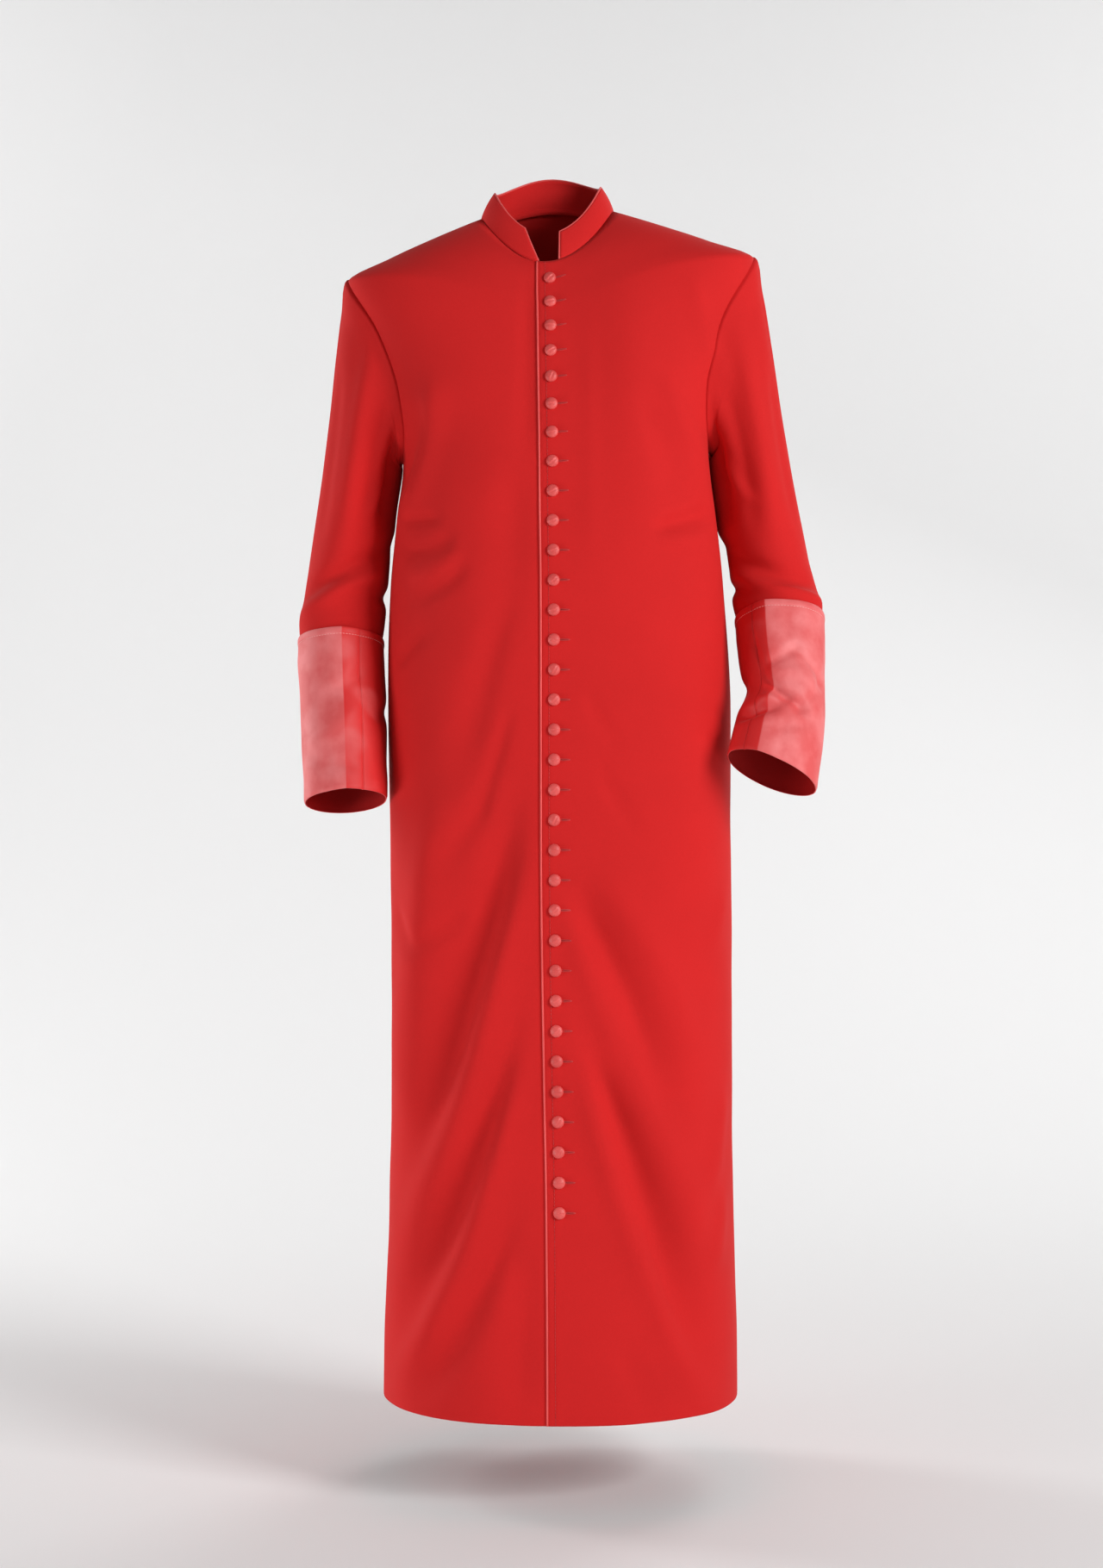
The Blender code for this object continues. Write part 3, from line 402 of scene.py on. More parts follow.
def cloth_mesh(name: str, points: Points, cloth_uv: Points, closed: bool = False) -> bpy.types.Object:
    """Makes a smooth grid of cloth whose UV map is its place on the cut piece in metres.

    Args:
        name: Name of the piece.
        points: Rows by columns of points. Seen from outside, rows go up and columns to the right.
        cloth_uv: Rows by columns of places on the cloth, with one more column if the grid is a tube.
        closed: Whether the last column joins the first.

    Returns:
        The piece, in the scene.
    """
    rows, columns = points.shape[:2]
    spans = columns if closed else columns - 1
    i, j = np.meshgrid(np.arange(rows - 1), np.arange(spans), indexing="ij")
    k = (j + 1) % columns
    corners = (i * columns + j, i * columns + k, (i + 1) * columns + k, (i + 1) * columns + j)
    faces = np.stack(corners, axis=-1).reshape(-1, 4)
    mesh = bpy.data.meshes.new(name)
    mesh.from_pydata(points.reshape(-1, 3).tolist(), [], faces.tolist())
    places = (cloth_uv[i, j], cloth_uv[i, j + 1], cloth_uv[i + 1, j + 1], cloth_uv[i + 1, j])
    layer = mesh.uv_layers.new(name="cloth")
    layer.data.foreach_set("uv", np.stack(places, axis=-2).astype(np.float32).ravel())
    mesh.shade_smooth()
    return place_mesh(name, mesh)


def place_mesh(name: str, mesh: bpy.types.Mesh) -> bpy.types.Object:
    """Puts a mesh in the scene as a piece.

    Args:
        name: Name of the piece.
        mesh: Its mesh.

    Returns:
        The piece, in the scene.
    """
    piece = bpy.data.objects.new(name, mesh)
    bpy.context.scene.collection.objects.link(piece)
    return piece


def plain_mesh(name: str, points: Points, faces: Sequence[Sequence[int]]) -> bpy.types.Object:
    """Makes a smooth piece from points and faces, whose satin, if it has any, looks pale all over.

    Args:
        name: Name of the piece.
        points: Its points.
        faces: Its faces, as corner numbers.

    Returns:
        The piece, in the scene.
    """
    mesh = bpy.data.meshes.new(name)
    mesh.from_pydata(np.asarray(points).tolist(), [], [tuple(int(c) for c in face) for face in faces])
    mesh.shade_smooth()
    piece = place_mesh(name, mesh)
    painted_reflection(piece, np.ones(len(mesh.vertices)))
    return piece


def tube_parts(
    line: Points, normals: Points, radii: tuple[float, float], sides: int, loop: bool
) -> tuple[Points, list]:
    """Points and faces of a thin tube that lies on cloth.

    Args:
        line: The tube's middle.
        normals: The cloth's normals there.
        radii: Half sizes beside the line and off the cloth.
        sides: Sides of the tube.
        loop: Whether the line is closed.

    Returns:
        The points, and the faces as corner numbers.
    """
    if loop:
        along = np.roll(line, -1, axis=0) - np.roll(line, 1, axis=0)
    else:
        along = np.gradient(line, axis=0)
    beside = unit(np.cross(unit(along), normals))
    angles = np.arange(sides) * 2 * math.pi / sides
    points = (
        line[:, None]
        + radii[0] * np.cos(angles)[None, :, None] * beside[:, None]
        + radii[1] * np.sin(angles)[None, :, None] * normals[:, None]
    ).reshape(-1, 3)
    count = len(line)
    faces = []
    for i in range(count if loop else count - 1):
        for s in range(sides):
            t, n = (s + 1) % sides, (i + 1) % count
            faces.append((i * sides + s, i * sides + t, n * sides + t, n * sides + s))
    if not loop:
        faces.append(tuple(range(sides))[::-1])
        faces.append(tuple((count - 1) * sides + s for s in range(sides)))
    return points, faces


def joined(parts: Sequence[tuple]) -> tuple[Points, list]:
    """Joins sets of points and faces into one.

    Args:
        parts: Pairs of points and faces.

    Returns:
        The points, and the faces as corner numbers.
    """
    points, faces, base = [], [], 0
    for part_points, part_faces in parts:
        points.append(part_points)
        faces += [tuple(corner + base for corner in face) for face in part_faces]
        base += len(part_points)
    return np.concatenate(points), faces


def stitches(
    line: Points, normals: Points, length: float, gap: float, radius: float
) -> tuple[Points, list]:
    """A row of sewing stitches, each a short tapered thread that dips into the cloth at its ends.

    Args:
        line: Points along the row, close together.
        normals: The cloth's normals there.
        length: Length of a stitch.
        gap: Distance between stitches.
        radius: Radius of the thread.

    Returns:
        The points, and the faces as corner numbers.
    """
    walked = np.concatenate([[0], np.cumsum(np.linalg.norm(np.diff(line, axis=0), axis=1))])
    starts = np.arange(0.5 * gap, walked[-1] - length, length + gap)
    profile = ((0.0, -0.4, 0.5), (0.2, 0.5, 1.0), (0.8, 0.5, 1.0), (1.0, -0.4, 0.5))
    sides = 5
    parts = []
    for start in starts:
        at = np.array([start + share * length for share, _, _ in profile])
        middle = np.stack([np.interp(at, walked, line[:, c]) for c in range(3)], axis=1)
        normal = unit(np.stack([np.interp(at, walked, normals[:, c]) for c in range(3)], axis=1))
        lift = np.array([rise for _, rise, _ in profile])[:, None] * radius
        thick = np.array([share for _, _, share in profile])
        along = unit(np.gradient(middle, axis=0))
        beside = np.cross(along, normal)
        angles = np.arange(sides) * 2 * math.pi / sides
        cosine, sine = np.cos(angles)[None, :, None], np.sin(angles)[None, :, None]
        ring = cosine * beside[:, None] + sine * normal[:, None]
        points = (middle + lift * normal)[:, None] + radius * thick[:, None, None] * ring
        faces = [
            (i * sides + s, i * sides + t, (i + 1) * sides + t, (i + 1) * sides + s)
            for i in range(len(profile) - 1)
            for s, t in zip(range(sides), [*range(1, sides), 0])
        ]
        parts.append((points.reshape(-1, 3), faces))
    return joined(parts)


# Finishes


def linear(hex_colour: str) -> tuple[float, float, float, float]:
    """Turns an sRGB hex colour into linear values.

    Args:
        hex_colour: The colour, such as #D62424.

    Returns:
        Red, green, blue and an alpha of 1.
    """
    parts = [int(hex_colour[i : i + 2], 16) / 255 for i in (1, 3, 5)]
    values = [p / 12.92 if p <= 0.04045 else ((p + 0.055) / 1.055) ** 2.4 for p in parts]
    return (values[0], values[1], values[2], 1.0)


def add_node(tree: bpy.types.NodeTree, kind: str, settings: dict, links: dict) -> bpy.types.Node:
    """Adds a node to a material.

    Args:
        tree: The material's node tree.
        kind: Blender's name for the node's type.
        settings: Properties by name, and input values under the key of the input's name or number.
        links: Output sockets by the name or number of the input that they feed.

    Returns:
        The node.
    """
    node = tree.nodes.new(kind)
    for key, value in settings.items():
        if isinstance(key, str) and hasattr(node, key):
            setattr(node, key, value)
        else:
            node.inputs[key].default_value = value
    for key, socket in links.items():
        tree.links.new(socket, node.inputs[key])
    return node


def new_material(name: str, looks: dict) -> tuple[bpy.types.Material, bpy.types.NodeTree, bpy.types.Node]:
    """Makes a material that has only its Principled shader.

    Args:
        name: Its name.
        looks: The shader's own values, by the names of its inputs.

    Returns:
        The material, its node tree and its shader.
    """
    material = bpy.data.materials.new(name)
    material.use_nodes = True
    tree = material.node_tree
    tree.nodes.clear()
    shader = add_node(tree, "ShaderNodeBsdfPrincipled", looks, {})
    add_node(tree, "ShaderNodeOutputMaterial", {}, {"Surface": shader.outputs[0]})
    return material, tree, shader


@dataclass(frozen=True)
class WoolTwill:
    """Wool blend in a fine twill, piece-dyed and pressed: matt, with a soft bloom of fibres at its edges."""

    name: str = "wool_twill"
    colour: str = "#D62424"
    shade: str = "#CD2222"
    roughness: float = 0.85
    sheen: float = 0.05
    # The real twill lines are 0.4 mm apart; they are drawn 1.5 mm apart so that they show
    twill_mm: float = 1.5

    def build(self) -> bpy.types.Material:
        """Makes the material.

        Returns:
            The material.
        """
        looks = {
            "Roughness": self.roughness,
            "IOR": 1.5,
            "Specular IOR Level": 0.12,
            "Sheen Weight": self.sheen,
            "Sheen Roughness": 0.55,
            "Sheen Tint": linear("#F0B0A8"),
        }
        material, tree, shader = new_material(self.name, looks)
        where = add_node(tree, "ShaderNodeUVMap", {"uv_map": "cloth"}, {}).outputs[0]
        place = add_node(tree, "ShaderNodeTexCoord", {}, {}).outputs["Object"]
        cloud = add_node(tree, "ShaderNodeTexNoise", {"Scale": 9.0, "Detail": 3.0}, {"Vector": place})
        fibre = add_node(tree, "ShaderNodeTexNoise", {"Scale": 520.0, "Detail": 2.0}, {"Vector": place})
        # A diagonal wave of scale 0.628 repeats once a metre along the warp
        twill = {"bands_direction": "DIAGONAL", "Scale": 0.628 / (self.twill_mm / 1000), "Distortion": 0.6}
        lines = add_node(tree, "ShaderNodeTexWave", twill | {"Detail": 1.0}, {"Vector": where})
        sum_of = {"operation": "MULTIPLY_ADD"}
        mottle = add_node(tree, "ShaderNodeMath", sum_of | {1: 0.45, 2: 0.0}, {0: fibre.outputs["Fac"]})
        both = add_node(
            tree, "ShaderNodeMath", sum_of | {1: 0.55}, {0: cloud.outputs["Fac"], 2: mottle.outputs[0]}
        )
        dyed = add_node(tree, "ShaderNodeValToRGB", {}, {"Fac": both.outputs[0]})
        dyed.color_ramp.elements[0].position = 0.30
        dyed.color_ramp.elements[0].color = linear(self.shade)
        dyed.color_ramp.elements[1].position = 0.70
        dyed.color_ramp.elements[1].color = linear(self.colour)
        relief = add_node(
            tree, "ShaderNodeMath", sum_of | {1: 0.6}, {0: lines.outputs["Fac"], 2: fibre.outputs["Fac"]}
        )
        depth = {"Strength": 0.20, "Distance": 0.0003}
        bump = add_node(tree, "ShaderNodeBump", depth, {"Height": relief.outputs[0]})
        tree.links.new(dyed.outputs["Color"], shader.inputs["Base Color"])
        tree.links.new(bump.outputs["Normal"], shader.inputs["Normal"])
        return material


@dataclass(frozen=True)
class Satin:
    """Warp-faced satin: smooth long floats. Its pale tone is a painted reflection of the bright studio, laid
    where the floats would catch it; elsewhere the satin's own deep red shows.
    """

    name: str = "red_satin"
    # On the cuffs the pale tones, mottled at random between colour and shade, are painted reflection; deep is
    # the satin's own red
    colour: str = "#EE7878"
    shade: str = "#E25858"
    deep: str = "#DE2626"
    roughness: float = 0.62
    sheen: float = 0.06
    gloss: float = 0.08
    # The real floats are 0.15 mm wide; they are drawn 0.9 mm wide so that they show
    float_mm: float = 0.9

    def build(self) -> bpy.types.Material:
        """Makes the material.

        Returns:
            The material.
        """
        looks = {
            "Roughness": self.roughness,
            "IOR": 1.54,
            "Specular IOR Level": 0.40,
            "Coat Weight": self.gloss,
            "Coat IOR": 1.6,
            "Coat Roughness": 0.38,
            "Sheen Weight": self.sheen,
            "Sheen Roughness": 0.35,
            "Sheen Tint": linear("#FFD9D4"),
        }
        material, tree, shader = new_material(self.name, looks)
        where = add_node(tree, "ShaderNodeUVMap", {"uv_map": "cloth"}, {}).outputs[0]
        place = add_node(tree, "ShaderNodeTexCoord", {}, {}).outputs["Object"]
        long_way = add_node(tree, "ShaderNodeMapping", {"Scale": (1.0, 0.12, 1.0)}, {"Vector": where})
        fine = {"Scale": 1.0 / (self.float_mm / 1000), "Detail": 1.0}
        floats = add_node(tree, "ShaderNodeTexNoise", fine, {"Vector": long_way.outputs[0]})
        cloud = add_node(tree, "ShaderNodeTexNoise", {"Scale": 26.0, "Detail": 4.0}, {"Vector": place})
        dyed = add_node(tree, "ShaderNodeValToRGB", {}, {"Fac": cloud.outputs["Fac"]})
        dyed.color_ramp.elements[0].position = 0.38
        dyed.color_ramp.elements[0].color = linear(self.shade)
        dyed.color_ramp.elements[1].position = 0.62
        dyed.color_ramp.elements[1].color = linear(self.colour)
        # Painted reflection: where the attribute is 1 the pale tones are painted, where it is 0 the deep red
        # is left
        lies = add_node(tree, "ShaderNodeAttribute", {"attribute_name": "painted_reflection"}, {})
        painted_reflection_colour = add_node(
            tree,
            "ShaderNodeMix",
            {"data_type": "RGBA", 6: linear(self.deep)},
            {0: lies.outputs["Fac"], 7: dyed.outputs["Color"]},
        )
        depth = {"Strength": 0.16, "Distance": 0.0003}
        bump = add_node(tree, "ShaderNodeBump", depth, {"Height": floats.outputs["Fac"]})
        tree.links.new(painted_reflection_colour.outputs[2], shader.inputs["Base Color"])
        tree.links.new(bump.outputs["Normal"], shader.inputs["Normal"])
        return material


@dataclass(frozen=True)
class SewingThread:
    """Twisted polyester sewing thread, a little paler and glossier than the cloth that it holds."""

    name: str = "sewing_thread"
    colour: str = "#C93030"
    roughness: float = 0.55

    def build(self) -> bpy.types.Material:
        """Makes the material.

        Returns:
            The material.
        """
        looks = {"Base Color": linear(self.colour), "Roughness": self.roughness, "IOR": 1.55}
        material, tree, shader = new_material(self.name, looks)
        place = add_node(tree, "ShaderNodeTexCoord", {}, {}).outputs["Object"]
        twist = add_node(tree, "ShaderNodeTexNoise", {"Scale": 1400.0, "Detail": 1.0}, {"Vector": place})
        depth = {"Strength": 0.4, "Distance": 0.0002}
        bump = add_node(tree, "ShaderNodeBump", depth, {"Height": twist.outputs["Fac"]})
        tree.links.new(bump.outputs["Normal"], shader.inputs["Normal"])
        return material


@dataclass(frozen=True)
class StudioPaper:
    """Seamless background paper: matt and nearly white."""

    name: str = "studio_paper"
    colour: str = "#F0F0F0"

    def build(self) -> bpy.types.Material:
        """Makes the material."""
        looks = {"Base Color": linear(self.colour), "Roughness": 0.95, "Specular IOR Level": 0.1}
        return new_material(self.name, looks)[0]


def made_once(finish: WoolTwill | Satin | SewingThread) -> bpy.types.Material:
    """A dataclass field that holds a finish's material, made with the object that holds it."""
    return field(default_factory=finish.build)


@dataclass
class Finishes:
    """All finishes of the garment, made once."""

    twill: bpy.types.Material = made_once(WoolTwill())
    # Pressed over interlining and flatter; its twill is a little brighter, painted light on the flat collar
    lit_collar_twill: bpy.types.Material = made_once(
        WoolTwill(name="pressed_wool_twill_painted_light", colour="#DC2828", shade="#D32323")
    )
    # The inside of the cuffs: the twill in a darker colour, painted shade that gives them depth
    facing: bpy.types.Material = made_once(WoolTwill(name="shaded_facing_twill", colour="#B51C1C", shade="#A51818"))
    satin: bpy.types.Material = made_once(Satin())
    # Cut on the bias over a cord: finer floats that shine evenly along it
    piping_satin: bpy.types.Material = made_once(
        Satin(name="piping_satin", colour="#EE5553", shade="#E64B49", float_mm=0.7, sheen=0.05, gloss=0.15)
    )
    # Drawn tight over a dome: smoother, with a paler rim
    button_satin: bpy.types.Material = made_once(
        Satin(name="button_satin", colour="#E85A57", shade="#DB4C49", roughness=0.50, sheen=0.15)
    )
    thread: bpy.types.Material = made_once(SewingThread())
    # Dyed to match the satin, so the cuffs' stitches are a pale line
    pale_thread: bpy.types.Material = made_once(SewingThread(name="pale_sewing_thread", colour="#F0A8A4"))
    # The slit between a buttonhole's worked edges: a dark strip of painted shade where the gap is
    slit_painted_shade: bpy.types.Material = made_once(
        SewingThread(name="buttonhole_slit_painted_shade", colour="#9A1819", roughness=0.8)
    )


def dress(
    piece: bpy.types.Object, materials: Sequence[bpy.types.Material]
) -> bpy.types.Object:
    """Gives a piece its materials, and puts it on the garment's one body.

    Args:
        piece: The piece.
        materials: Its materials, in order.

    Returns:
        The same piece.
    """
    for material in materials:
        piece.data.materials.append(material)
    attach(piece, "root")
    return piece


def thicken(piece: bpy.types.Object, thickness: float, lined: bool) -> None:
    """Gives a sheet its thickness, inwards. A lined one shows its second material inside.

    Args:
        piece: The sheet.
        thickness: Its thickness.
        lined: Whether it has a second material inside.
    """
    shell = piece.modifiers.new("cloth_thickness", "SOLIDIFY")
    shell.thickness = thickness
    shell.offset = -1.0
    shell.use_even_offset = False
    if lined:
        shell.material_offset = 1
        shell.material_offset_rim = 0


def cut_size(piece: bpy.types.Object) -> str:
    """Says how wide, long and large a piece's cloth is, from its UV map in metres, for the log.

    Args:
        piece: The piece.

    Returns:
        The sizes, as words.
    """
    places = np.empty(2 * len(piece.data.loops), np.float32)
    piece.data.uv_layers["cloth"].data.foreach_get("uv", places)
    width, length = np.ptp(places.reshape(-1, 2), axis=0)
    area = sum(face.area for face in piece.data.polygons)
    return f"{width:.3f} x {length:.3f} m, {area:.4f} m2"


# Forms


@dataclass(frozen=True)
class RingStack:
    """A surface through rounded sections, read by turn: 0 at the left and -90 degrees in front."""

    sections: tuple[Section, ...]

    def read(self, name: str, height: Points) -> Points:
        """One column of the table at the heights of the side."""
        knots = [section.side for section in self.sections]
        return monotone_curve(knots, [getattr(section, name) for section in self.sections], height)

    def plain(self, turn: Points, height: Points) -> Points:
        """Points of the stack with no folds and no lean.

        Args:
            turn: Turns from the wearer's left, in radians.
            height: Heights at the side.

        Returns:
            The points.
        """
        turn, height = np.broadcast_arrays(np.asarray(turn, float), np.asarray(height, float))
        cosine, sine = np.cos(turn), np.sin(turn)
        power = self.read("power", height)
        depth = np.where(sine < 0, self.read("front_depth", height), self.read("back_depth", height))
        reach = (
            np.abs(cosine / self.read("half_width", height)) ** power + np.abs(sine / depth) ** power
        ) ** (-1.0 / power)
        level = np.where(sine < 0, self.read("front", height), self.read("back", height))
        z = height + (level - height) * sine**2
        return np.stack([self.read("middle", height) + reach * cosine, reach * sine, z], axis=-1)


@dataclass(frozen=True)
class Surface:
    """A surface with its normals, taken from small steps on it."""

    at: Callable[[Points, Points], Points]
    top: float

    def normal(self, turn: Points, height: Points) -> Points:
        """Outward unit normals.

        Args:
            turn: Turns from the wearer's left, in radians.
            height: Heights at the side.

        Returns:
            The normals.
        """
        step_turn, step_height = 2e-3, 5e-4
        above = np.minimum(height + step_height, self.top)
        round_way = self.at(turn + step_turn, height) - self.at(turn - step_turn, height)
        up_way = self.at(turn, above) - self.at(turn, height - step_height)
        return unit(np.cross(round_way, up_way))

    def moved(self, turn: Points, height: Points, inward: Points | float) -> Points:
        """Points moved in along the normals."""
        return self.at(turn, height) - np.asarray(inward)[..., None] * self.normal(turn, height)


@dataclass(frozen=True)
class BodyForm:
    """The form of the fronts and back: sections, folds and the wearer's sloping shoulders."""

    stack: RingStack = RingStack(BODY)
    shoulder_lean: float = 0.056
    lean_fades_at: float = -0.55
    lean_full_at: float = -0.12
    armhole_bottom: float = -0.300
    armhole_top: float = -0.0655
    armhole_reach: float = math.radians(24)
    armhole_skew: float = 0.50
    armhole_steps: int = 40
    skirt_rows: int = 140
    shoulder_rows: int = 14
    hem_turn_up: float = 0.034
    above_turn: float = 0.005
    ripple_size: float = 0.00045
    side_seam_depth: float = 0.0010
    armhole_more: float = 0.0007

    def plain(self, turn: Points, height: Points) -> Points:
        """The surface without folds.

        Args:
            turn: Turns from the wearer's left, in radians.
            height: Heights at the side.

        Returns:
            The points.
        """
        point = self.stack.plain(turn, height)
        lean = self.shoulder_lean * smooth_step(point[..., 2], self.lean_fades_at, self.lean_full_at)
        point[..., 2] += lean * point[..., 0]
        return point

    def at(self, turn: Points, height: Points) -> Points:
        """The surface with its folds.

        Args:
            turn: Turns from the wearer's left, in radians.
            height: Heights at the side.

        Returns:
            The points.
        """
        point = self.plain(turn, height)
        turn = np.broadcast_to(turn, point.shape[:-1])
        facing = np.sin(turn)
        across, up = point[..., 0], point[..., 2]
        out = smooth_step(-facing, 0.05, 0.45) * fold_height(across, up, FRONT_FOLDS)
        out = out + smooth_step(facing, 0.05, 0.45) * fold_height(across, up, BACK_FOLDS)
        for flute in FLUTES:
            opening = smooth_step(-np.asarray(height), -flute.starts_at, -self.stack.sections[0].side)
            out = out + flute.out * opening * np.exp(-(((turn - flute.turn) / flute.width) ** 2))
        loose = 0.35 + 0.65 * smooth_step(-up, 0.35, 0.80)
        out = out + ripple(0.21 * turn, up, self.ripple_size) * loose * smooth_step(-up, 0.09, 0.20)
        return point + np.stack([np.cos(turn), np.sin(turn), 0 * turn], axis=-1) * out[..., None]

    @property
    def surface(self) -> Surface:
        """The surface, with its normals."""
        return Surface(self.at, self.stack.sections[-1].side)

    def armhole_edge(self, swing: Points, reach: float | Points) -> tuple[Points, Points]:
        """Heights and turns of the armhole's edge, at swings from its bottom to its top.

        Args:
            swing: Turns round the armhole.
            reach: Its half width, as a turn from the side.

        Returns:
            The heights, and the turns from the side.
        """
        share = (1 - np.cos(swing)) / 2
        height = self.armhole_bottom + (self.armhole_top - self.armhole_bottom) * share
        return height, reach * np.sin(swing) * (1.10 - self.armhole_skew * share)

    def armhole_turn(self, height: Points) -> Points:
        """How far round from the side the armhole's edge lies at a height."""
        share = np.clip((height - self.armhole_bottom) / (self.armhole_top - self.armhole_bottom), 0, 1)
        return self.armhole_edge(np.arccos(1 - 2 * share), self.armhole_reach)[1]

    def front_turn(self, height: Points, x_from_buttons: Points | float) -> Points:
        """The angle at which the front lies at a distance from the button line."""
        off_centre = self.stack.read("buttons", height) - self.stack.read("middle", height)
        return FRONT + np.arcsin((off_centre + x_from_buttons) / self.stack.read("front_depth", height))

    def seam_depth(self, height: Points) -> Points:
        """How deep a panel's edge rolls in: more round the armhole than down the side seam."""
        armhole = smooth_step(height, self.armhole_bottom - 0.01, self.armhole_bottom + 0.03)
        return self.side_seam_depth + self.armhole_more * armhole

    def seamed(self, inward: Points, height: Points, from_seam: Points) -> Points:
        """How far a panel's rows lie in, with their ends rolled in to the seam."""
        return inward[:, None] + seam_roll(from_seam[None, :], self.seam_depth(height)[:, None])

    def rows(self) -> tuple[Points, Points]:
        """The rows of the fronts and back.

        Returns:
            Their heights at the side, and how far each lies in, for the hem that is turned up inside.
        """
        hem = self.stack.sections[0].side
        turned = (
            (self.hem_turn_up, 0.0021),
            (0.017, 0.0021),
            (0.006, 0.0020),
            (0.0016, 0.0018),
            (0.0004, 0.0012),
            (0.0004, 0.0005),
            (0.0018, 0.0001),
        )
        climb = 1 - np.linspace(1, 0, self.skirt_rows + 1) ** 1.25
        skirt = hem + self.above_turn + (self.armhole_bottom - hem - self.above_turn) * climb
        swing = np.arange(1, self.armhole_steps + 1) * math.pi / self.armhole_steps
        beside_arm = self.armhole_edge(swing, 0)[0]
        shoulder = np.linspace(self.armhole_top, self.stack.sections[-1].side, self.shoulder_rows + 1)[1:]
        height = np.concatenate([[hem + rise for rise, _ in turned], skirt, beside_arm, shoulder])
        inward = np.zeros(len(height))
        inward[: len(turned)] = [depth for _, depth in turned]
        return height, inward


def seam_roll(distance: Points, depth: Points | float = 0.0013, width: float = 0.0016) -> Points:
    """How far a panel's edge rolls in towards its seam, by the distance from the seam."""
    return depth * np.exp(-((distance / width) ** 2))


def edge_shares(width: float, middle: int) -> Points:
    """Shares from 0 to 1 across a panel, close together at the far edge where its seam rolls in."""
    near = np.array([0.009, 0.0062, 0.0042, 0.0028, 0.0018, 0.0010, 0.0004, 0.0]) / width
    return np.concatenate([np.linspace(0, 1 - 0.0125 / width, middle), 1 - near])


# The body's panels


@dataclass
class ButtonLine:
    """The line of buttons: their count, spacing and places on the left front."""

    body: BodyForm
    count: int = 33
    radius: float = 0.0072
    first_drop: float = 0.022
    pitch: float = 0.0352
    pitch_at_neck: float = 0.0298
    close_ones: int = 7

    def heights(self) -> Points:
        """Heights of the buttons at the side, from the top one down.

        Returns:
            The heights, falling.
        """
        gaps = self.pitch - (self.pitch - self.pitch_at_neck) * (
            1 - smooth_step(np.arange(self.count - 1), 0, self.close_ones)
        )
        drops = BODY[-1].front - self.first_drop - np.concatenate([[0], np.cumsum(gaps)])
        side = np.linspace(BODY[0].side, BODY[-1].side, 600)
        return np.interp(drops, self.body.stack.read("front", side), side)

    def pull(self, x_from_buttons: Points, height: Points) -> Points:
        """How far the buttons draw the left front in: it puckers a little between them.

        Args:
            x_from_buttons: Distances from the line of buttons.
            height: Heights at the side.

        Returns:
            How far each point goes, in metres.
        """
        places = self.heights()
        nearest = np.abs(height[..., None] - places).min(axis=-1)
        below = smooth_step(height, places.min() - 0.03, places.min())
        beside = np.exp(-((x_from_buttons / 0.011) ** 2))
        return below * (0.0010 * beside * np.exp(-((nearest / 0.007) ** 2)) - 0.0004 * beside)


def panel_uv(points: Points) -> Points:
    """Places on the cut piece, from the distances walked over the cloth.

    Args:
        points: Rows by columns of points.

    Returns:
        Rows by columns of places, in metres.
    """
    across = np.linalg.norm(np.diff(points, axis=1), axis=-1)
    u = np.concatenate([np.zeros((points.shape[0], 1)), np.cumsum(across, axis=1)], axis=1)
    up = np.linalg.norm(np.diff(points, axis=0), axis=-1).mean(axis=1)
    v = np.repeat(np.concatenate([[0], np.cumsum(up)])[:, None], points.shape[1], axis=1)
    return np.stack([u, v], axis=-1)


@dataclass
class Panel:
    """What the fronts and the back share: a cut piece of wool twill that hangs from the shoulders."""

    body: BodyForm
    finishes: Finishes
    thickness: float = 0.0010
    neck_roll: tuple[float, float] = (0.0004, 0.0018)

    def sew(self, name: str, points: Points, flat: tuple[float, float], area: float) -> bpy.types.Object:
        """Makes the panel's sheet.

        Args:
            name: The solid that it stands for.
            points: Rows by columns of points.
            flat: Width and length of the cut piece. Not used.
            area: Area of the cut piece. Not used.

        Returns:
            The panel.
        """
        piece = cloth_mesh(f"{name}_cloth", points, panel_uv(points))
        thicken(piece, self.thickness, False)
        dress(piece, [self.finishes.twill])
        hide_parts(name)
        LOG.info("%s: %s", name.replace("_", " "), cut_size(piece))
        return piece


@dataclass
class LeftFront(Panel):
    """The wearer's left front, which lies on top and carries the buttonholes, in wool twill."""

    buttons: ButtonLine = field(kw_only=True)
    overlap: float = 0.0145
    width: float = 0.34
    edge_roll: tuple[float, float] = (0.0007, 0.0016)
    neck_roll: tuple[float, float] = (0.0002, 0.0014)
    flat: tuple[float, float] = (0.344, 1.52)
    area: float = 0.467
    near_edge: tuple[float, ...] = (
        -0.0145, -0.0142, -0.0134, -0.0120, -0.0100, -0.0080, -0.0060, -0.0040, -0.0020
    )

    def build(self) -> bpy.types.Object:
        """Makes the panel.

        Returns:
            The panel.
        """
        height, inward = self.body.rows()
        at_edge = np.array(self.near_edge)
        side = -self.body.armhole_turn(height)
        start = self.body.front_turn(height, 0.0)
        share = edge_shares(self.width, 68)
        near = np.stack([self.body.front_turn(height, x) for x in at_edge], axis=1)
        turns = np.concatenate([near, start[:, None] + (side - start)[:, None] * share], axis=1)
        heights = np.repeat(height[:, None], turns.shape[1], axis=1)
        x_from_buttons = self.body.plain(turns, heights)[..., 0] - self.body.stack.read("buttons", heights)
        from_side = np.concatenate([np.full(len(at_edge), 1.0), (1 - share) * self.width])
        from_edge = np.abs(x_from_buttons + self.overlap)
        drawn = self.body.seamed(inward, height, from_side) + seam_roll(from_edge, *self.edge_roll)
        drawn = drawn + seam_roll(np.abs(heights), *self.neck_roll)
        drawn = drawn + self.buttons.pull(x_from_buttons, heights)
        points = self.body.surface.moved(turns, heights, drawn)
        return self.sew("left_front", points, self.flat, self.area)


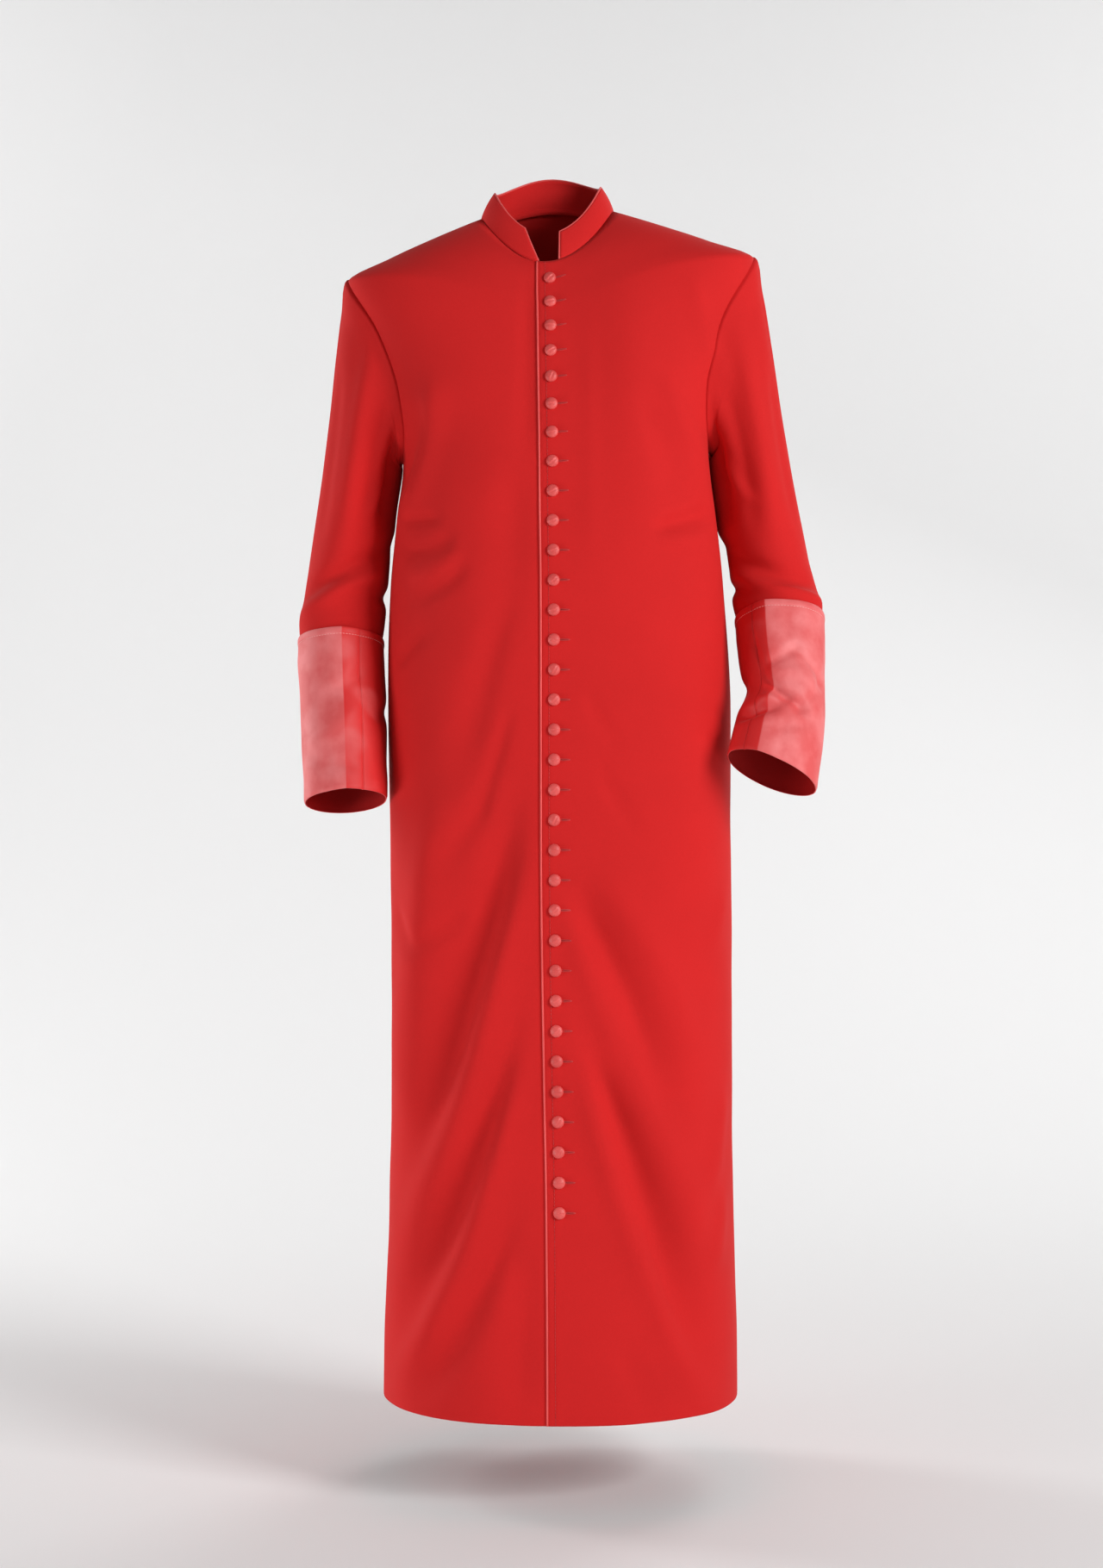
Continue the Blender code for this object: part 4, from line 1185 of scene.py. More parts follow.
@dataclass
class RightFront(Panel):
    """The wearer's right front, whose edge lies under the left one, in wool twill."""

    overlap: float = 0.0145
    underlap: float = 0.022
    underlap_depth: float = 0.0018
    underlap_blend: float = 0.055
    width: float = 0.34
    flat: tuple[float, float] = (0.349, 1.52)
    area: float = 0.460

    def build(self) -> bpy.types.Object:
        """Makes the panel.

        Returns:
            The panel.
        """
        height, inward = self.body.rows()
        side = -HALF_TURN + self.body.armhole_turn(height)
        end = self.body.front_turn(height, -self.overlap)
        share = 1 - edge_shares(self.width, 68)[::-1]
        main = side[:, None] + (end - side)[:, None] * share
        under = np.array([-0.0135, -0.010, -0.004, 0.004, 0.012, 0.018, self.underlap])
        tail = np.stack([self.body.front_turn(height, x) for x in under], axis=1)
        turns = np.concatenate([main, tail], axis=1)
        heights = np.repeat(height[:, None], turns.shape[1], axis=1)
        x_from_buttons = self.body.plain(turns, heights)[..., 0] - self.body.stack.read("buttons", heights)
        from_side = np.concatenate([share * self.width, np.full(len(under), 1.0)])
        drawn = self.body.seamed(inward, height, from_side) + seam_roll(np.abs(heights), *self.neck_roll)
        drawn = drawn + self.underlap_depth * smooth_step(
            x_from_buttons, -self.overlap - self.underlap_blend, -self.overlap
        )
        points = self.body.surface.moved(turns, heights, drawn)
        return self.sew("right_front", points, self.flat, self.area)


@dataclass
class Back(Panel):
    """The back, in one piece of wool twill from side seam to side seam."""

    width: float = 0.52
    flat: tuple[float, float] = (0.738, 1.57)
    area: float = 0.879

    def build(self) -> bpy.types.Object:
        """Makes the panel.

        Returns:
            The panel.
        """
        height, inward = self.body.rows()
        half = edge_shares(self.width / 2, 60)
        share = np.concatenate([0.5 - 0.5 * half[::-1], 0.5 + 0.5 * half[1:]])
        from_side = self.body.armhole_turn(height)
        start, end = from_side, HALF_TURN - from_side
        turns = start[:, None] + (end - start)[:, None] * share
        heights = np.repeat(height[:, None], turns.shape[1], axis=1)
        to_seam = np.minimum(share, 1 - share) * self.width
        drawn = self.body.seamed(inward, height, to_seam) + seam_roll(np.abs(heights), *self.neck_roll)
        points = self.body.surface.moved(turns, heights, drawn)
        return self.sew("back", points, self.flat, self.area)


# Sleeves and cuffs


@dataclass(frozen=True)
class ArmForm:
    """The form of one arm of the garment."""

    hand: Hand
    rings: tuple[Ring, ...]
    body: BodyForm

    @property
    def name(self) -> str:
        """The arm's name in the frame."""
        return self.hand.name.lower()

    @property
    def cuff_top(self) -> float:
        """Height of the arm's middle at the cuff's upper edge."""
        return next(ring.z for ring in self.rings if ring.name == "cuff_top")

    def ring(self, height: float, swing: Points) -> Points:
        """Points round the arm at a height of its middle: 0 towards the body, 90 degrees in front.

        Args:
            height: Height of the arm's middle.
            swing: Turns round the sleeve, in radians.

        Returns:
            The points.
        """
        upward = self.rings[::-1]
        knots = [ring.z for ring in upward]
        x, y, across, deep, lean, pitch = (
            float(monotone_curve(knots, [getattr(ring, name) for ring in upward], np.array([height]))[0])
            for name in ("x", "y", "half_across", "half_deep", "lean", "pitch")
        )
        lean, pitch = math.radians(lean), math.radians(pitch)
        outward = np.array([self.hand.value * math.cos(lean), 0.0, -math.sin(lean)])
        forward = np.array([0.0, -math.cos(pitch), math.sin(pitch)])
        round_way = -across * np.cos(swing)[:, None] * outward + deep * np.sin(swing)[:, None] * forward
        return np.array([x, y, height]) + round_way

    def armhole(self, swing: Points) -> tuple[Points, Points, Points]:
        """The armhole's edge, where the sleeve is set in.

        Args:
            swing: Turns round the sleeve, in radians.

        Returns:
            The points, the cloth's normals there and the directions off the cloth into the hole.
        """
        height, from_side = self.body.armhole_edge(swing, -self.body.armhole_reach)
        turn = from_side if self.hand is Hand.LEFT else -HALF_TURN - from_side
        points = self.body.surface.at(turn, height)
        normal = self.body.surface.normal(turn, height)
        along = np.roll(points, -1, axis=0) - np.roll(points, 1, axis=0)
        off = unit(np.cross(along, normal))
        inward = ((points.mean(axis=0) - points) * off).sum(axis=1, keepdims=True)
        return points, normal, off * np.sign(inward)

    def cap(self, swing: Points, near: Points, rows: int) -> Points:
        """Rows of the sleeve's cap, from the armhole to the biceps.

        Args:
            swing: Turns round the sleeve.
            near: Distances from the armhole of the rows beside its seam.
            rows: How many rows follow, down to the biceps.

        Returns:
            Rows by columns of points.
        """
        loop, normal, off = self.armhole(swing)
        top = self.rings[0].z
        biceps, below = self.ring(top, swing), self.ring(top - 0.02, swing)
        over = ((1 - np.cos(swing)) / 2)[:, None]
        gap = np.linalg.norm(biceps - loop, axis=1, keepdims=True)
        leave = unit(off + (0.9 - 0.6 * over) * normal)
        arrive = unit(below - biceps)
        pull_away = gap * (0.55 - 0.46 * over) + 0.008
        pull_down = gap * (0.85 + 0.10 * over)
        first = np.minimum(near[:, None] / pull_away[:, 0], 0.35)
        rest = (np.arange(1, rows + 1) / rows) ** 1.2
        shares = np.concatenate([first, first[-1] + (1 - first[-1]) * rest[:, None]])[..., None]
        return (
            loop * (1 + 2 * shares) * (1 - shares) ** 2
            + biceps * shares * shares * (3 - 2 * shares)
            + leave * pull_away * shares * (1 - shares) ** 2
            + arrive * pull_down * shares * shares * (shares - 1)
        )


def tube_normals(grid: Points, hand: Hand) -> Points:
    """Outward unit normals of a tube whose rows run down."""
    round_way = np.roll(grid, -1, axis=1) - np.roll(grid, 1, axis=1)
    return hand.value * unit(np.cross(np.gradient(grid, axis=0), round_way))


def crease_height(grid: Points, swing: Points, creases: Sequence[Crease]) -> Points:
    """How far a sleeve's creases push its cloth out.

    Args:
        grid: Rows by columns of points that run down the sleeve.
        swing: Turns round the sleeve, in radians.
        creases: The creases.

    Returns:
        How far each point goes, in metres.
    """
    out = np.zeros(grid.shape[:2])
    for turn_shift in (0.0, 2 * math.pi):
        across = np.broadcast_to((swing - turn_shift) * ARM_RADIUS, out.shape)
        folds = [
            Fold(
                crease.name,
                math.radians(crease.turn0) * ARM_RADIUS,
                crease.z0,
                math.radians(crease.turn1) * ARM_RADIUS,
                crease.z1,
                *crease[5:],
            )
            for crease in creases
            if turn_shift == 0.0 or crease.turn0 < 0
        ]
        out = out + fold_height(across, grid[..., 2], folds)
    return out


def tube_piece(name: str, grid: Points, hand: Hand) -> bpy.types.Object:
    """Makes a cloth tube from rows that run down.

    Args:
        name: Name of the piece.
        grid: Rows by columns of points that run down the sleeve.
        hand: The arm's side.

    Returns:
        The piece, in the scene.
    """
    flipped = grid[::-1, :: hand.value]
    across = np.linalg.norm(np.roll(flipped, -1, axis=1) - flipped, axis=-1)
    u = np.concatenate([np.zeros((flipped.shape[0], 1)), np.cumsum(across, axis=1)], axis=1)
    up = np.linalg.norm(np.diff(flipped, axis=0), axis=-1).mean(axis=1)
    v = np.repeat(np.concatenate([[0], np.cumsum(up)])[:, None], flipped.shape[1] + 1, axis=1)
    return cloth_mesh(name, flipped, np.stack([u, v], axis=-1), closed=True)


def signed_turn(turn: Points) -> Points:
    """The same turn between half a turn back and half a turn forward."""
    return (turn + math.pi) % (2 * math.pi) - math.pi


def seam_swings(columns: int, seams: Sequence[float]) -> Points:
    """Turns round a sleeve in radians, evenly spaced, with more beside each seam.

    Args:
        columns: How many even turns to start from.
        seams: The seams' turns, in degrees.

    Returns:
        The turns, rising.
    """
    even = np.arange(columns) * 2 * math.pi / columns
    beside = np.radians([-2.2, -1.3, -0.6, 0.0, 0.6, 1.3, 2.2])
    extra = np.concatenate([math.radians(seam) + beside for seam in seams]) % (2 * math.pi)
    clear = [s for s in even if np.abs(signed_turn(s - extra)).min() > math.radians(1.0)]
    return np.sort(np.concatenate([clear, extra]))


def groove(swing: Points, seam: float, depth: float, width: float) -> Points:
    """A fine line down a sleeve: how far it goes in at each turn."""
    away = signed_turn(swing - math.radians(seam))
    return depth * np.exp(-((away / math.radians(width)) ** 2))


def roof(swing: Points, line: float, height: float, width: float) -> Points:
    """A pressed line down a cuff: a low roof whose two slopes meet on a soft edge."""
    away, soft = np.abs(signed_turn(swing - math.radians(line))) / math.radians(width), 0.0016
    return height * (np.sqrt(1 + soft) - np.sqrt(away**2 + soft)) * (away < 1)


def painted_reflection(piece: bpy.types.Object, painted_reflection_share: Points) -> None:
    """Stores for each point how much painted reflection its satin gets: 1 paints the pale tone, 0 leaves the
    deep red.
    """
    layer = piece.data.attributes.new("painted_reflection", "FLOAT", "POINT")
    layer.data.foreach_set("value", np.float32(painted_reflection_share).ravel())


@dataclass
class Sleeve:
    """One sleeve of wool twill, from the armhole to just under its cuff."""

    arm: ArmForm
    creases: tuple[Crease, ...]
    finishes: Finishes
    thickness: float = 0.0010
    near_armhole: tuple[float, ...] = (-0.0013, -0.0004, 0.0004, 0.0012, 0.0021, 0.0034, 0.0054, 0.0084)
    cap_rows: int = 26
    arm_rows: int = 64
    columns: int = 96
    under_cuff: float = 0.0126
    seams: tuple[float, ...] = (0.0, 285.0)
    lies_on_body: tuple[float, float] = (-0.410, -0.280)
    clear_of_body: float = 0.0012
    ripple_size: float = 0.00045
    blouse: float = 0.0005
    tuck: float = 0.0009
    armhole_roll: tuple[float, float] = (0.0021, 0.0016)
    seam_groove: tuple[float, float] = (0.0009, 0.9)
    flat: tuple[float, float] = (0.44, 0.52)
    area: float = 0.135

    def grid(self) -> tuple[Points, Points, Points]:
        """The sleeve's points, its normals and its turns.

        Returns:
            The points, row by row from the armhole, their normals and the turns of the columns.
        """
        swing = seam_swings(self.columns, self.seams)
        near = np.array(self.near_armhole)
        cap = self.arm.cap(swing, near, self.cap_rows)
        heights = np.linspace(self.arm.rings[0].z, self.arm.cuff_top, self.arm_rows)[1:]
        under = np.array([0.5, 1.0]) * self.under_cuff
        heights = np.append(heights, self.arm.cuff_top - under)
        grid = np.concatenate([cap, np.array([self.arm.ring(height, swing) for height in heights])])
        normal = tube_normals(grid, self.arm.hand)
        steps = np.linalg.norm(np.diff(grid, axis=0), axis=-1)
        walked = np.concatenate([np.zeros((1, len(swing))), steps]).cumsum(0)
        from_armhole = smooth_step(np.arange(len(grid)), len(near) - 2, len(near) + 5)
        above_cuff = np.concatenate([np.full(len(cap), 1.0), heights - self.arm.cuff_top])
        free = from_armhole * smooth_step(above_cuff, 0.0, 0.016)
        out = crease_height(grid, swing, self.creases) * free[:, None]
        out = out + ripple(swing[None, :] * ARM_RADIUS, grid[..., 2], self.ripple_size) * free[:, None]
        blouse = self.blouse * np.exp(-(((above_cuff - 0.014) / 0.010) ** 2))
        tucked = self.tuck * (1 - smooth_step(above_cuff, 0.0, 0.010))
        out = out + (blouse - tucked)[:, None] + self.head(swing, walked)
        out = out - seam_roll(walked, *self.armhole_roll)
        out = out + self.nestle(grid, swing)
        for seam in self.seams:
            out = out - groove(swing, seam, *self.seam_groove)[None, :]
        return grid + out[..., None] * normal, normal, swing

    def head(self, swing: Points, walked: Points) -> Points:
        """The sleeve's head: its seam allowances lie in it and lift it beside the shoulder."""
        over = smooth_step(-np.cos(swing), 0.0, 0.9)[None, :]
        rise, fall = smooth_step(walked, 0.0, 0.004), 1 - smooth_step(walked, 0.010, 0.045)
        return (0.0006 + 0.0022 * over) * rise * fall

    def nestle(self, grid: Points, swing: Points) -> Points:
        """How far the sleeve's inner side falls towards the body below the armhole, just clear of it.

        Args:
            grid: Rows by columns of points that run down the sleeve.
            swing: Turns round the sleeve, in radians.

        Returns:
            How far each point goes, in metres.
        """
        turn = np.array(0.0 if self.arm.hand is Hand.LEFT else HALF_TURN)
        innermost = grid[np.arange(len(grid)), np.argmin(np.abs(grid[:, :, 0]), axis=1)]
        inner, height = np.abs(innermost[:, 0]), innermost[:, 2]
        side = np.abs(self.arm.body.at(np.broadcast_to(turn, height.shape), height)[:, 0])
        near = smooth_step(height, self.lies_on_body[0], self.lies_on_body[0] + 0.025)
        near = near * (1 - smooth_step(height, self.lies_on_body[1] - 0.02, self.lies_on_body[1]))
        gap = np.clip(inner - side - self.clear_of_body, 0.0, 0.012)
        return (near * gap)[:, None] * np.exp(-((signed_turn(swing) / 0.75) ** 2))[None, :]

    def build(self) -> bpy.types.Object:
        """Makes the sleeve.

        Returns:
            The sleeve.
        """
        points, _, _ = self.grid()
        piece = tube_piece(f"{self.arm.name}_sleeve_cloth", points, self.arm.hand)
        thicken(piece, self.thickness, False)
        dress(piece, [self.finishes.twill])
        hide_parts(f"{self.arm.name}_sleeve")
        LOG.info("%s sleeve: %s", self.arm.name, cut_size(piece))
        return piece


@dataclass
class Cuff:
    """One deep satin cuff, faced with twill, with a stitched band at its upper edge."""

    arm: ArmForm
    creases: tuple[Crease, ...]
    seam: float
    press_line: float
    # Height below which the satin gets pale patches of painted reflection
    reflection_patches_from: float
    finishes: Finishes
    # How pale those patches of painted reflection get
    reflection_patchiness: float = 0.38
    thickness: float = 0.0012
    proud: float = 0.0015
    rows: int = 76
    columns: int = 96
    band: float = 0.0085
    back_seam: float = 200.0
    ripple_size: float = 0.00060
    # Length, gap and thread radius of the stitches
    stitch: tuple[float, float, float] = (0.0030, 0.0009, 0.00032)
    flat: tuple[float, float] = (0.353, 0.210)

    def swings(self) -> Points:
        """The turns of the cuff's columns."""
        return seam_swings(self.columns, (self.seam, self.press_line, self.back_seam))

    def painted_reflection_share(self, grid: Points) -> Points:
        """How much painted reflection the satin gets: all of the outer panel, painted pale as though its
        floats faced the light, and pale painted patches lower down.

        Args:
            grid: Rows by columns of points that run down the sleeve.

        Returns:
            Shares from 0 to 1, in the order of the piece's points.
        """
        turn = np.degrees(self.swings())
        # The outer panel, beyond the press line, is painted pale as reflection; lower down come pale patches
        # of painted reflection
        outer = smooth_step(turn, self.press_line - 1.0, self.press_line + 0.6)
        outer = outer * (1 - smooth_step(turn, 245, 275))
        clouds = sum(
            np.sin(rate * turn[None, :] / 57.3 + lean * grid[..., 2] + start)
            for rate, lean, start in ((2.6, 62.0, 0.4), (-4.1, 47.0, 2.0), (1.3, 118.0, 4.1))
        )
        below = smooth_step(-grid[..., 2], -self.reflection_patches_from, 0.03 - self.reflection_patches_from)
        patches = self.reflection_patchiness * below * smooth_step(clouds, -0.2, 1.6)
        patches = patches * smooth_step(turn, 20, 48)[None, :]
        return (outer[None, :] + patches * (1 - outer[None, :]))[:, :: self.arm.hand.value]

    def grid(self) -> tuple[Points, Points, Points]:
        """The cuff's points, its normals and its turns.

        Returns:
            The points, row by row from the top, their normals and the turns of the columns.
        """
        swing = self.swings()
        top, low = self.arm.cuff_top, self.arm.rings[-1].z
        depth = top - low
        from_top = np.concatenate([
            [0.0, 0.0005, 0.0014, 0.003, 0.006],
            [self.band - 0.0009, self.band, self.band + 0.0010, self.band + 0.003],
            np.linspace(self.band + 0.006, depth - 0.005, self.rows),
            [depth - 0.0025, depth - 0.001, depth - 0.0003, depth],
        ])
        grid = np.array([self.arm.ring(top - drop, swing) for drop in from_top])
        normal = tube_normals(grid, self.arm.hand)
        free = smooth_step(from_top, 0.008, 0.030) * (1 - 0.7 * smooth_step(from_top, depth - 0.03, depth))
        out = crease_height(grid, swing, self.creases) * free[:, None]
        out = out + ripple(swing[None, :] * ARM_RADIUS, 1.7 * grid[..., 2], self.ripple_size) * free[:, None]
        band = 0.0006 * (1 - smooth_step(from_top, self.band - 0.001, self.band + 0.001))
        stitched = 0.0005 * np.exp(-(((from_top - self.band) / 0.0011) ** 2))
        rolled = seam_roll(from_top, 0.0006, 0.0012) + seam_roll(from_top - depth, 0.0009, 0.0016)
        out = out + (self.proud + band - stitched - rolled)[:, None]
        out = out - groove(swing, self.seam, 0.0011, 0.9)[None, :]
        out = out + roof(swing, self.press_line, 0.0042, 26.0)[None, :]
        out = out - groove(swing, self.back_seam, 0.0009, 0.9)[None, :]
        return grid + out[..., None] * normal, normal, swing

    def build(self) -> bpy.types.Object:
        """Makes the cuff and the stitches of its band.

        Returns:
            The cuff.
        """
        points, normals, _ = self.grid()
        name = f"{self.arm.name}_cuff"
        piece = tube_piece(f"{name}_satin", points, self.arm.hand)
        # The satin's pale tone is painted reflection: over the outer panel and in patches
        painted_reflection(piece, self.painted_reflection_share(points))
        thicken(piece, self.thickness, True)
        # The second material, the facing, is the twill painted darker as shade inside the cuff
        dress(piece, [self.finishes.satin, self.finishes.facing])
        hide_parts(name)
        line = np.concatenate([points[6], points[6, :1]])
        around = np.concatenate([normals[6], normals[6, :1]])
        sewing = plain_mesh(f"{name}_stitches", *stitches(line, around, *self.stitch))
        dress(sewing, [self.finishes.pale_thread])
        LOG.info("%s cuff: %s", self.arm.name, cut_size(piece))
        return piece


# Collar, piping, sewing and buttons


@dataclass
class Collar:
    """The stand collar of pressed twill, open in front round a notch, with satin piping on its edges."""

    body: BodyForm
    finishes: Finishes
    stack: RingStack = RingStack(COLLAR)
    thickness: float = 0.0022
    rows: int = 16
    columns: int = 150
    left_below: float = 0.0120
    left_above: float = 0.0120
    right_below: float = 0.0146
    right_above: float = 0.0312
    tucked_in: tuple[float, float] = (0.0022, 0.0020)
    tucked_down: tuple[float, float] = (0.0060, 0.0005)
    piping_radius: float = 0.00115
    flat: tuple[float, float] = (0.518, 0.042)

    def at(self, turn: Points, height: Points) -> Points:
        """The collar's outside.

        Args:
            turn: Turns from the wearer's left, in radians.
            height: Heights at the side.

        Returns:
            The points.
        """
        point = self.stack.plain(turn, height)
        point[..., 2] += self.body.shoulder_lean * point[..., 0]
        return point

    def ends(self, height: Points) -> tuple[Points, Points]:
        """The angles of the collar's two front edges at a height.

        Args:
            height: Heights at the side.

        Returns:
            The turns of the left end and of the right end.
        """
        share = (height - COLLAR[0].side) / (COLLAR[1].side - COLLAR[0].side)
        depth = self.stack.read("front_depth", height)
        off_centre = COLLAR[0].buttons - COLLAR[0].middle
        left = off_centre + self.left_below + (self.left_above - self.left_below) * share
        right = off_centre - self.right_below - (self.right_above - self.right_below) * share
        return FRONT + np.arcsin(left / depth), FRONT + np.arcsin(right / depth) + 2 * HALF_TURN

    def build(self) -> bpy.types.Object:
        """Makes the collar and its piping.

        Returns:
            The collar.
        """
        surface = Surface(self.at, COLLAR[-1].side)
        visible = np.linspace(COLLAR[0].side, COLLAR[1].side, self.rows + 1)
        height = np.concatenate([[COLLAR[0].side] * 2, visible])
        left, right = self.ends(height)
        share = np.linspace(0, 1, self.columns)
        turns = left[:, None] + (right - left)[:, None] * share
        heights = np.repeat(height[:, None], self.columns, axis=1)
        bulge = 0.0012 * np.sin(np.pi * (heights - height[0]) / (height[-1] - height[0]))
        rolled = seam_roll(heights - height[0], 0.0003, 0.0016)
        points = surface.moved(turns, heights, rolled - bulge)
        points[:2] -= surface.normal(turns, heights)[:2] * np.array(self.tucked_in)[:, None, None]
        points[:2, :, 2] -= np.array(self.tucked_down)[:, None]
        normals = surface.normal(turns, heights)
        piece = cloth_mesh("collar_cloth", points, panel_uv(points))
        thicken(piece, self.thickness, False)
        dress(piece, [self.finishes.lit_collar_twill])
        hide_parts("collar")
        piping = self.piping(points[2:], normals[2:])
        LOG.info("collar: %s", cut_size(piece))
        return piece

    def piping(self, points: Points, normals: Points) -> bpy.types.Object:
        """Makes the piping up the notch's edges and along the collar's top.

        Args:
            points: The collar's visible rows.
            normals: Their normals.

        Returns:
            The piping.
        """
        middle = points - 0.5 * self.thickness * normals
        clear = 0.75 * self.piping_radius
        up = clear * unit(middle[-1] - middle[-2])
        left_way = clear * unit(middle[:, 0] - middle[:, 1])
        right_way = clear * unit(middle[:, -1] - middle[:, -2])
        line = [
            *(middle[:-1, 0] + left_way[:-1]),
            middle[-1, 0] + 0.8 * (left_way[-1] + up[0]),
            *(middle[-1, 1:-1] + up[1:-1]),
            middle[-1, -1] + 0.8 * (right_way[-1] + up[-1]),
            *(middle[:-1, -1] + right_way[:-1])[::-1],
        ]
        around = [*normals[:-1, 0], *normals[-1], *normals[:-1, -1][::-1]]
        radii = (self.piping_radius, self.piping_radius)
        tube = tube_parts(np.array(line), np.array(around), radii, 10, False)
        piece = plain_mesh("collar_piping_satin", *tube)
        dress(piece, [self.finishes.piping_satin])
        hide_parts("collar_piping")
        return piece


@dataclass
class FrontSewing:
    """The piping on the left front's edge, the stitches beside it and the buttonholes."""

    body: BodyForm
    buttons: ButtonLine
    finishes: Finishes
    overlap: float = 0.0145
    piping_radius: float = 0.0012
    stitches_in: float = 0.0088
    # Length, gap and thread radius of the stitches
    stitch: tuple[float, float, float] = (0.0032, 0.0010, 0.00034)
    hole_reach: tuple[float, float] = (-0.0010, 0.0185)
    hole_half_width: float = 0.0008

    def line(self, x_from_buttons: float, lift: float, steps: int) -> tuple[Points, Points]:
        """A line down the left front and the cloth's normals along it.

        Args:
            x_from_buttons: Distance from the line of buttons.
            lift: Distance off the cloth.
            steps: How many points.

        Returns:
            The points, and the normals.
        """
        height = np.linspace(BODY[-1].side - 0.0005, BODY[0].side + 0.0005, steps)
        turn = self.body.front_turn(height, x_from_buttons)
        x = np.full(steps, x_from_buttons)
        drawn = self.buttons.pull(x, height) + seam_roll(np.abs(height), 0.0004, 0.0018)
        normal = self.body.surface.normal(turn, height)
        return self.body.surface.moved(turn, height, drawn - lift), normal

    def build(self) -> list[bpy.types.Object]:
        """Makes the piping, the stitches and the buttonholes.

        Returns:
            The three pieces.
        """
        edge, normal = self.line(-self.overlap - 0.7 * self.piping_radius, -0.0007, 420)
        radii = (self.piping_radius, self.piping_radius)
        piping = plain_mesh("front_piping_satin", *tube_parts(edge, normal, radii, 8, False))
        dress(piping, [self.finishes.piping_satin])
        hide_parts("front_piping")
        row, around = self.line(-self.overlap + self.stitches_in, 0.0002, 900)
        sewing = plain_mesh("front_edge_stitches", *stitches(row, around, *self.stitch))
        dress(sewing, [self.finishes.thread])
        holes = self.buttonholes()
        LOG.info("front piping, %d stitch faces, buttonholes", len(sewing.data.polygons))
        return [piping, sewing, holes]

    def buttonholes(self) -> bpy.types.Object:
        """Makes the worked buttonholes: a corded edge of thread round each slit, a dark strip of painted
        shade where the gap is.

        Returns:
            All buttonholes, as one piece.
        """
        around = np.arange(26) * 2 * math.pi / 26
        middle = 0.5 * (self.hole_reach[0] + self.hole_reach[1])
        half = 0.5 * (self.hole_reach[1] - self.hole_reach[0])
        corded, shade_slits = [], []
        for height in self.buttons.heights():
            x = middle + half * np.sign(np.cos(around)) * np.abs(np.cos(around)) ** 0.7
            z = height + self.hole_half_width * np.sin(around) * 1.15
            corded.append(tube_parts(*self.on_cloth(x, z, 0.0002), (0.00055, 0.0003), 6, True))
            # Each slit is a flat strip in a dark colour: painted shade for the gap between the worked edges
            run = np.linspace(middle - 0.9 * half, middle + 0.9 * half, 8)
            upper = self.on_cloth(run, np.full(8, height + 0.0004), 0.00015)[0]
            lower = self.on_cloth(run, np.full(8, height - 0.0004), 0.00015)[0]
            shade_slits.append((np.concatenate([lower, upper]), [(i, i + 1, i + 9, i + 8) for i in range(7)]))
        points, faces = joined([*corded, *shade_slits])
        piece = plain_mesh("buttonholes", points, faces)
        dress(piece, [self.finishes.thread, self.finishes.slit_painted_shade])
        first_shade_slit = sum(len(part[1]) for part in corded)
        for number in range(first_shade_slit, len(faces)):
            piece.data.polygons[number].material_index = 1
        return piece

    def on_cloth(self, x_from_buttons: Points, height: Points, lift: float) -> tuple[Points, Points]:
        """Points just off the left front, and its normals.

        Args:
            x_from_buttons: Distances from the line of buttons.
            height: Heights at the side.
            lift: Distance off the cloth.

        Returns:
            The points, and the normals.
        """
        turn = self.body.front_turn(height, x_from_buttons)
        drawn = self.buttons.pull(x_from_buttons, height) - lift
        return self.body.surface.moved(turn, height, drawn), self.body.surface.normal(turn, height)


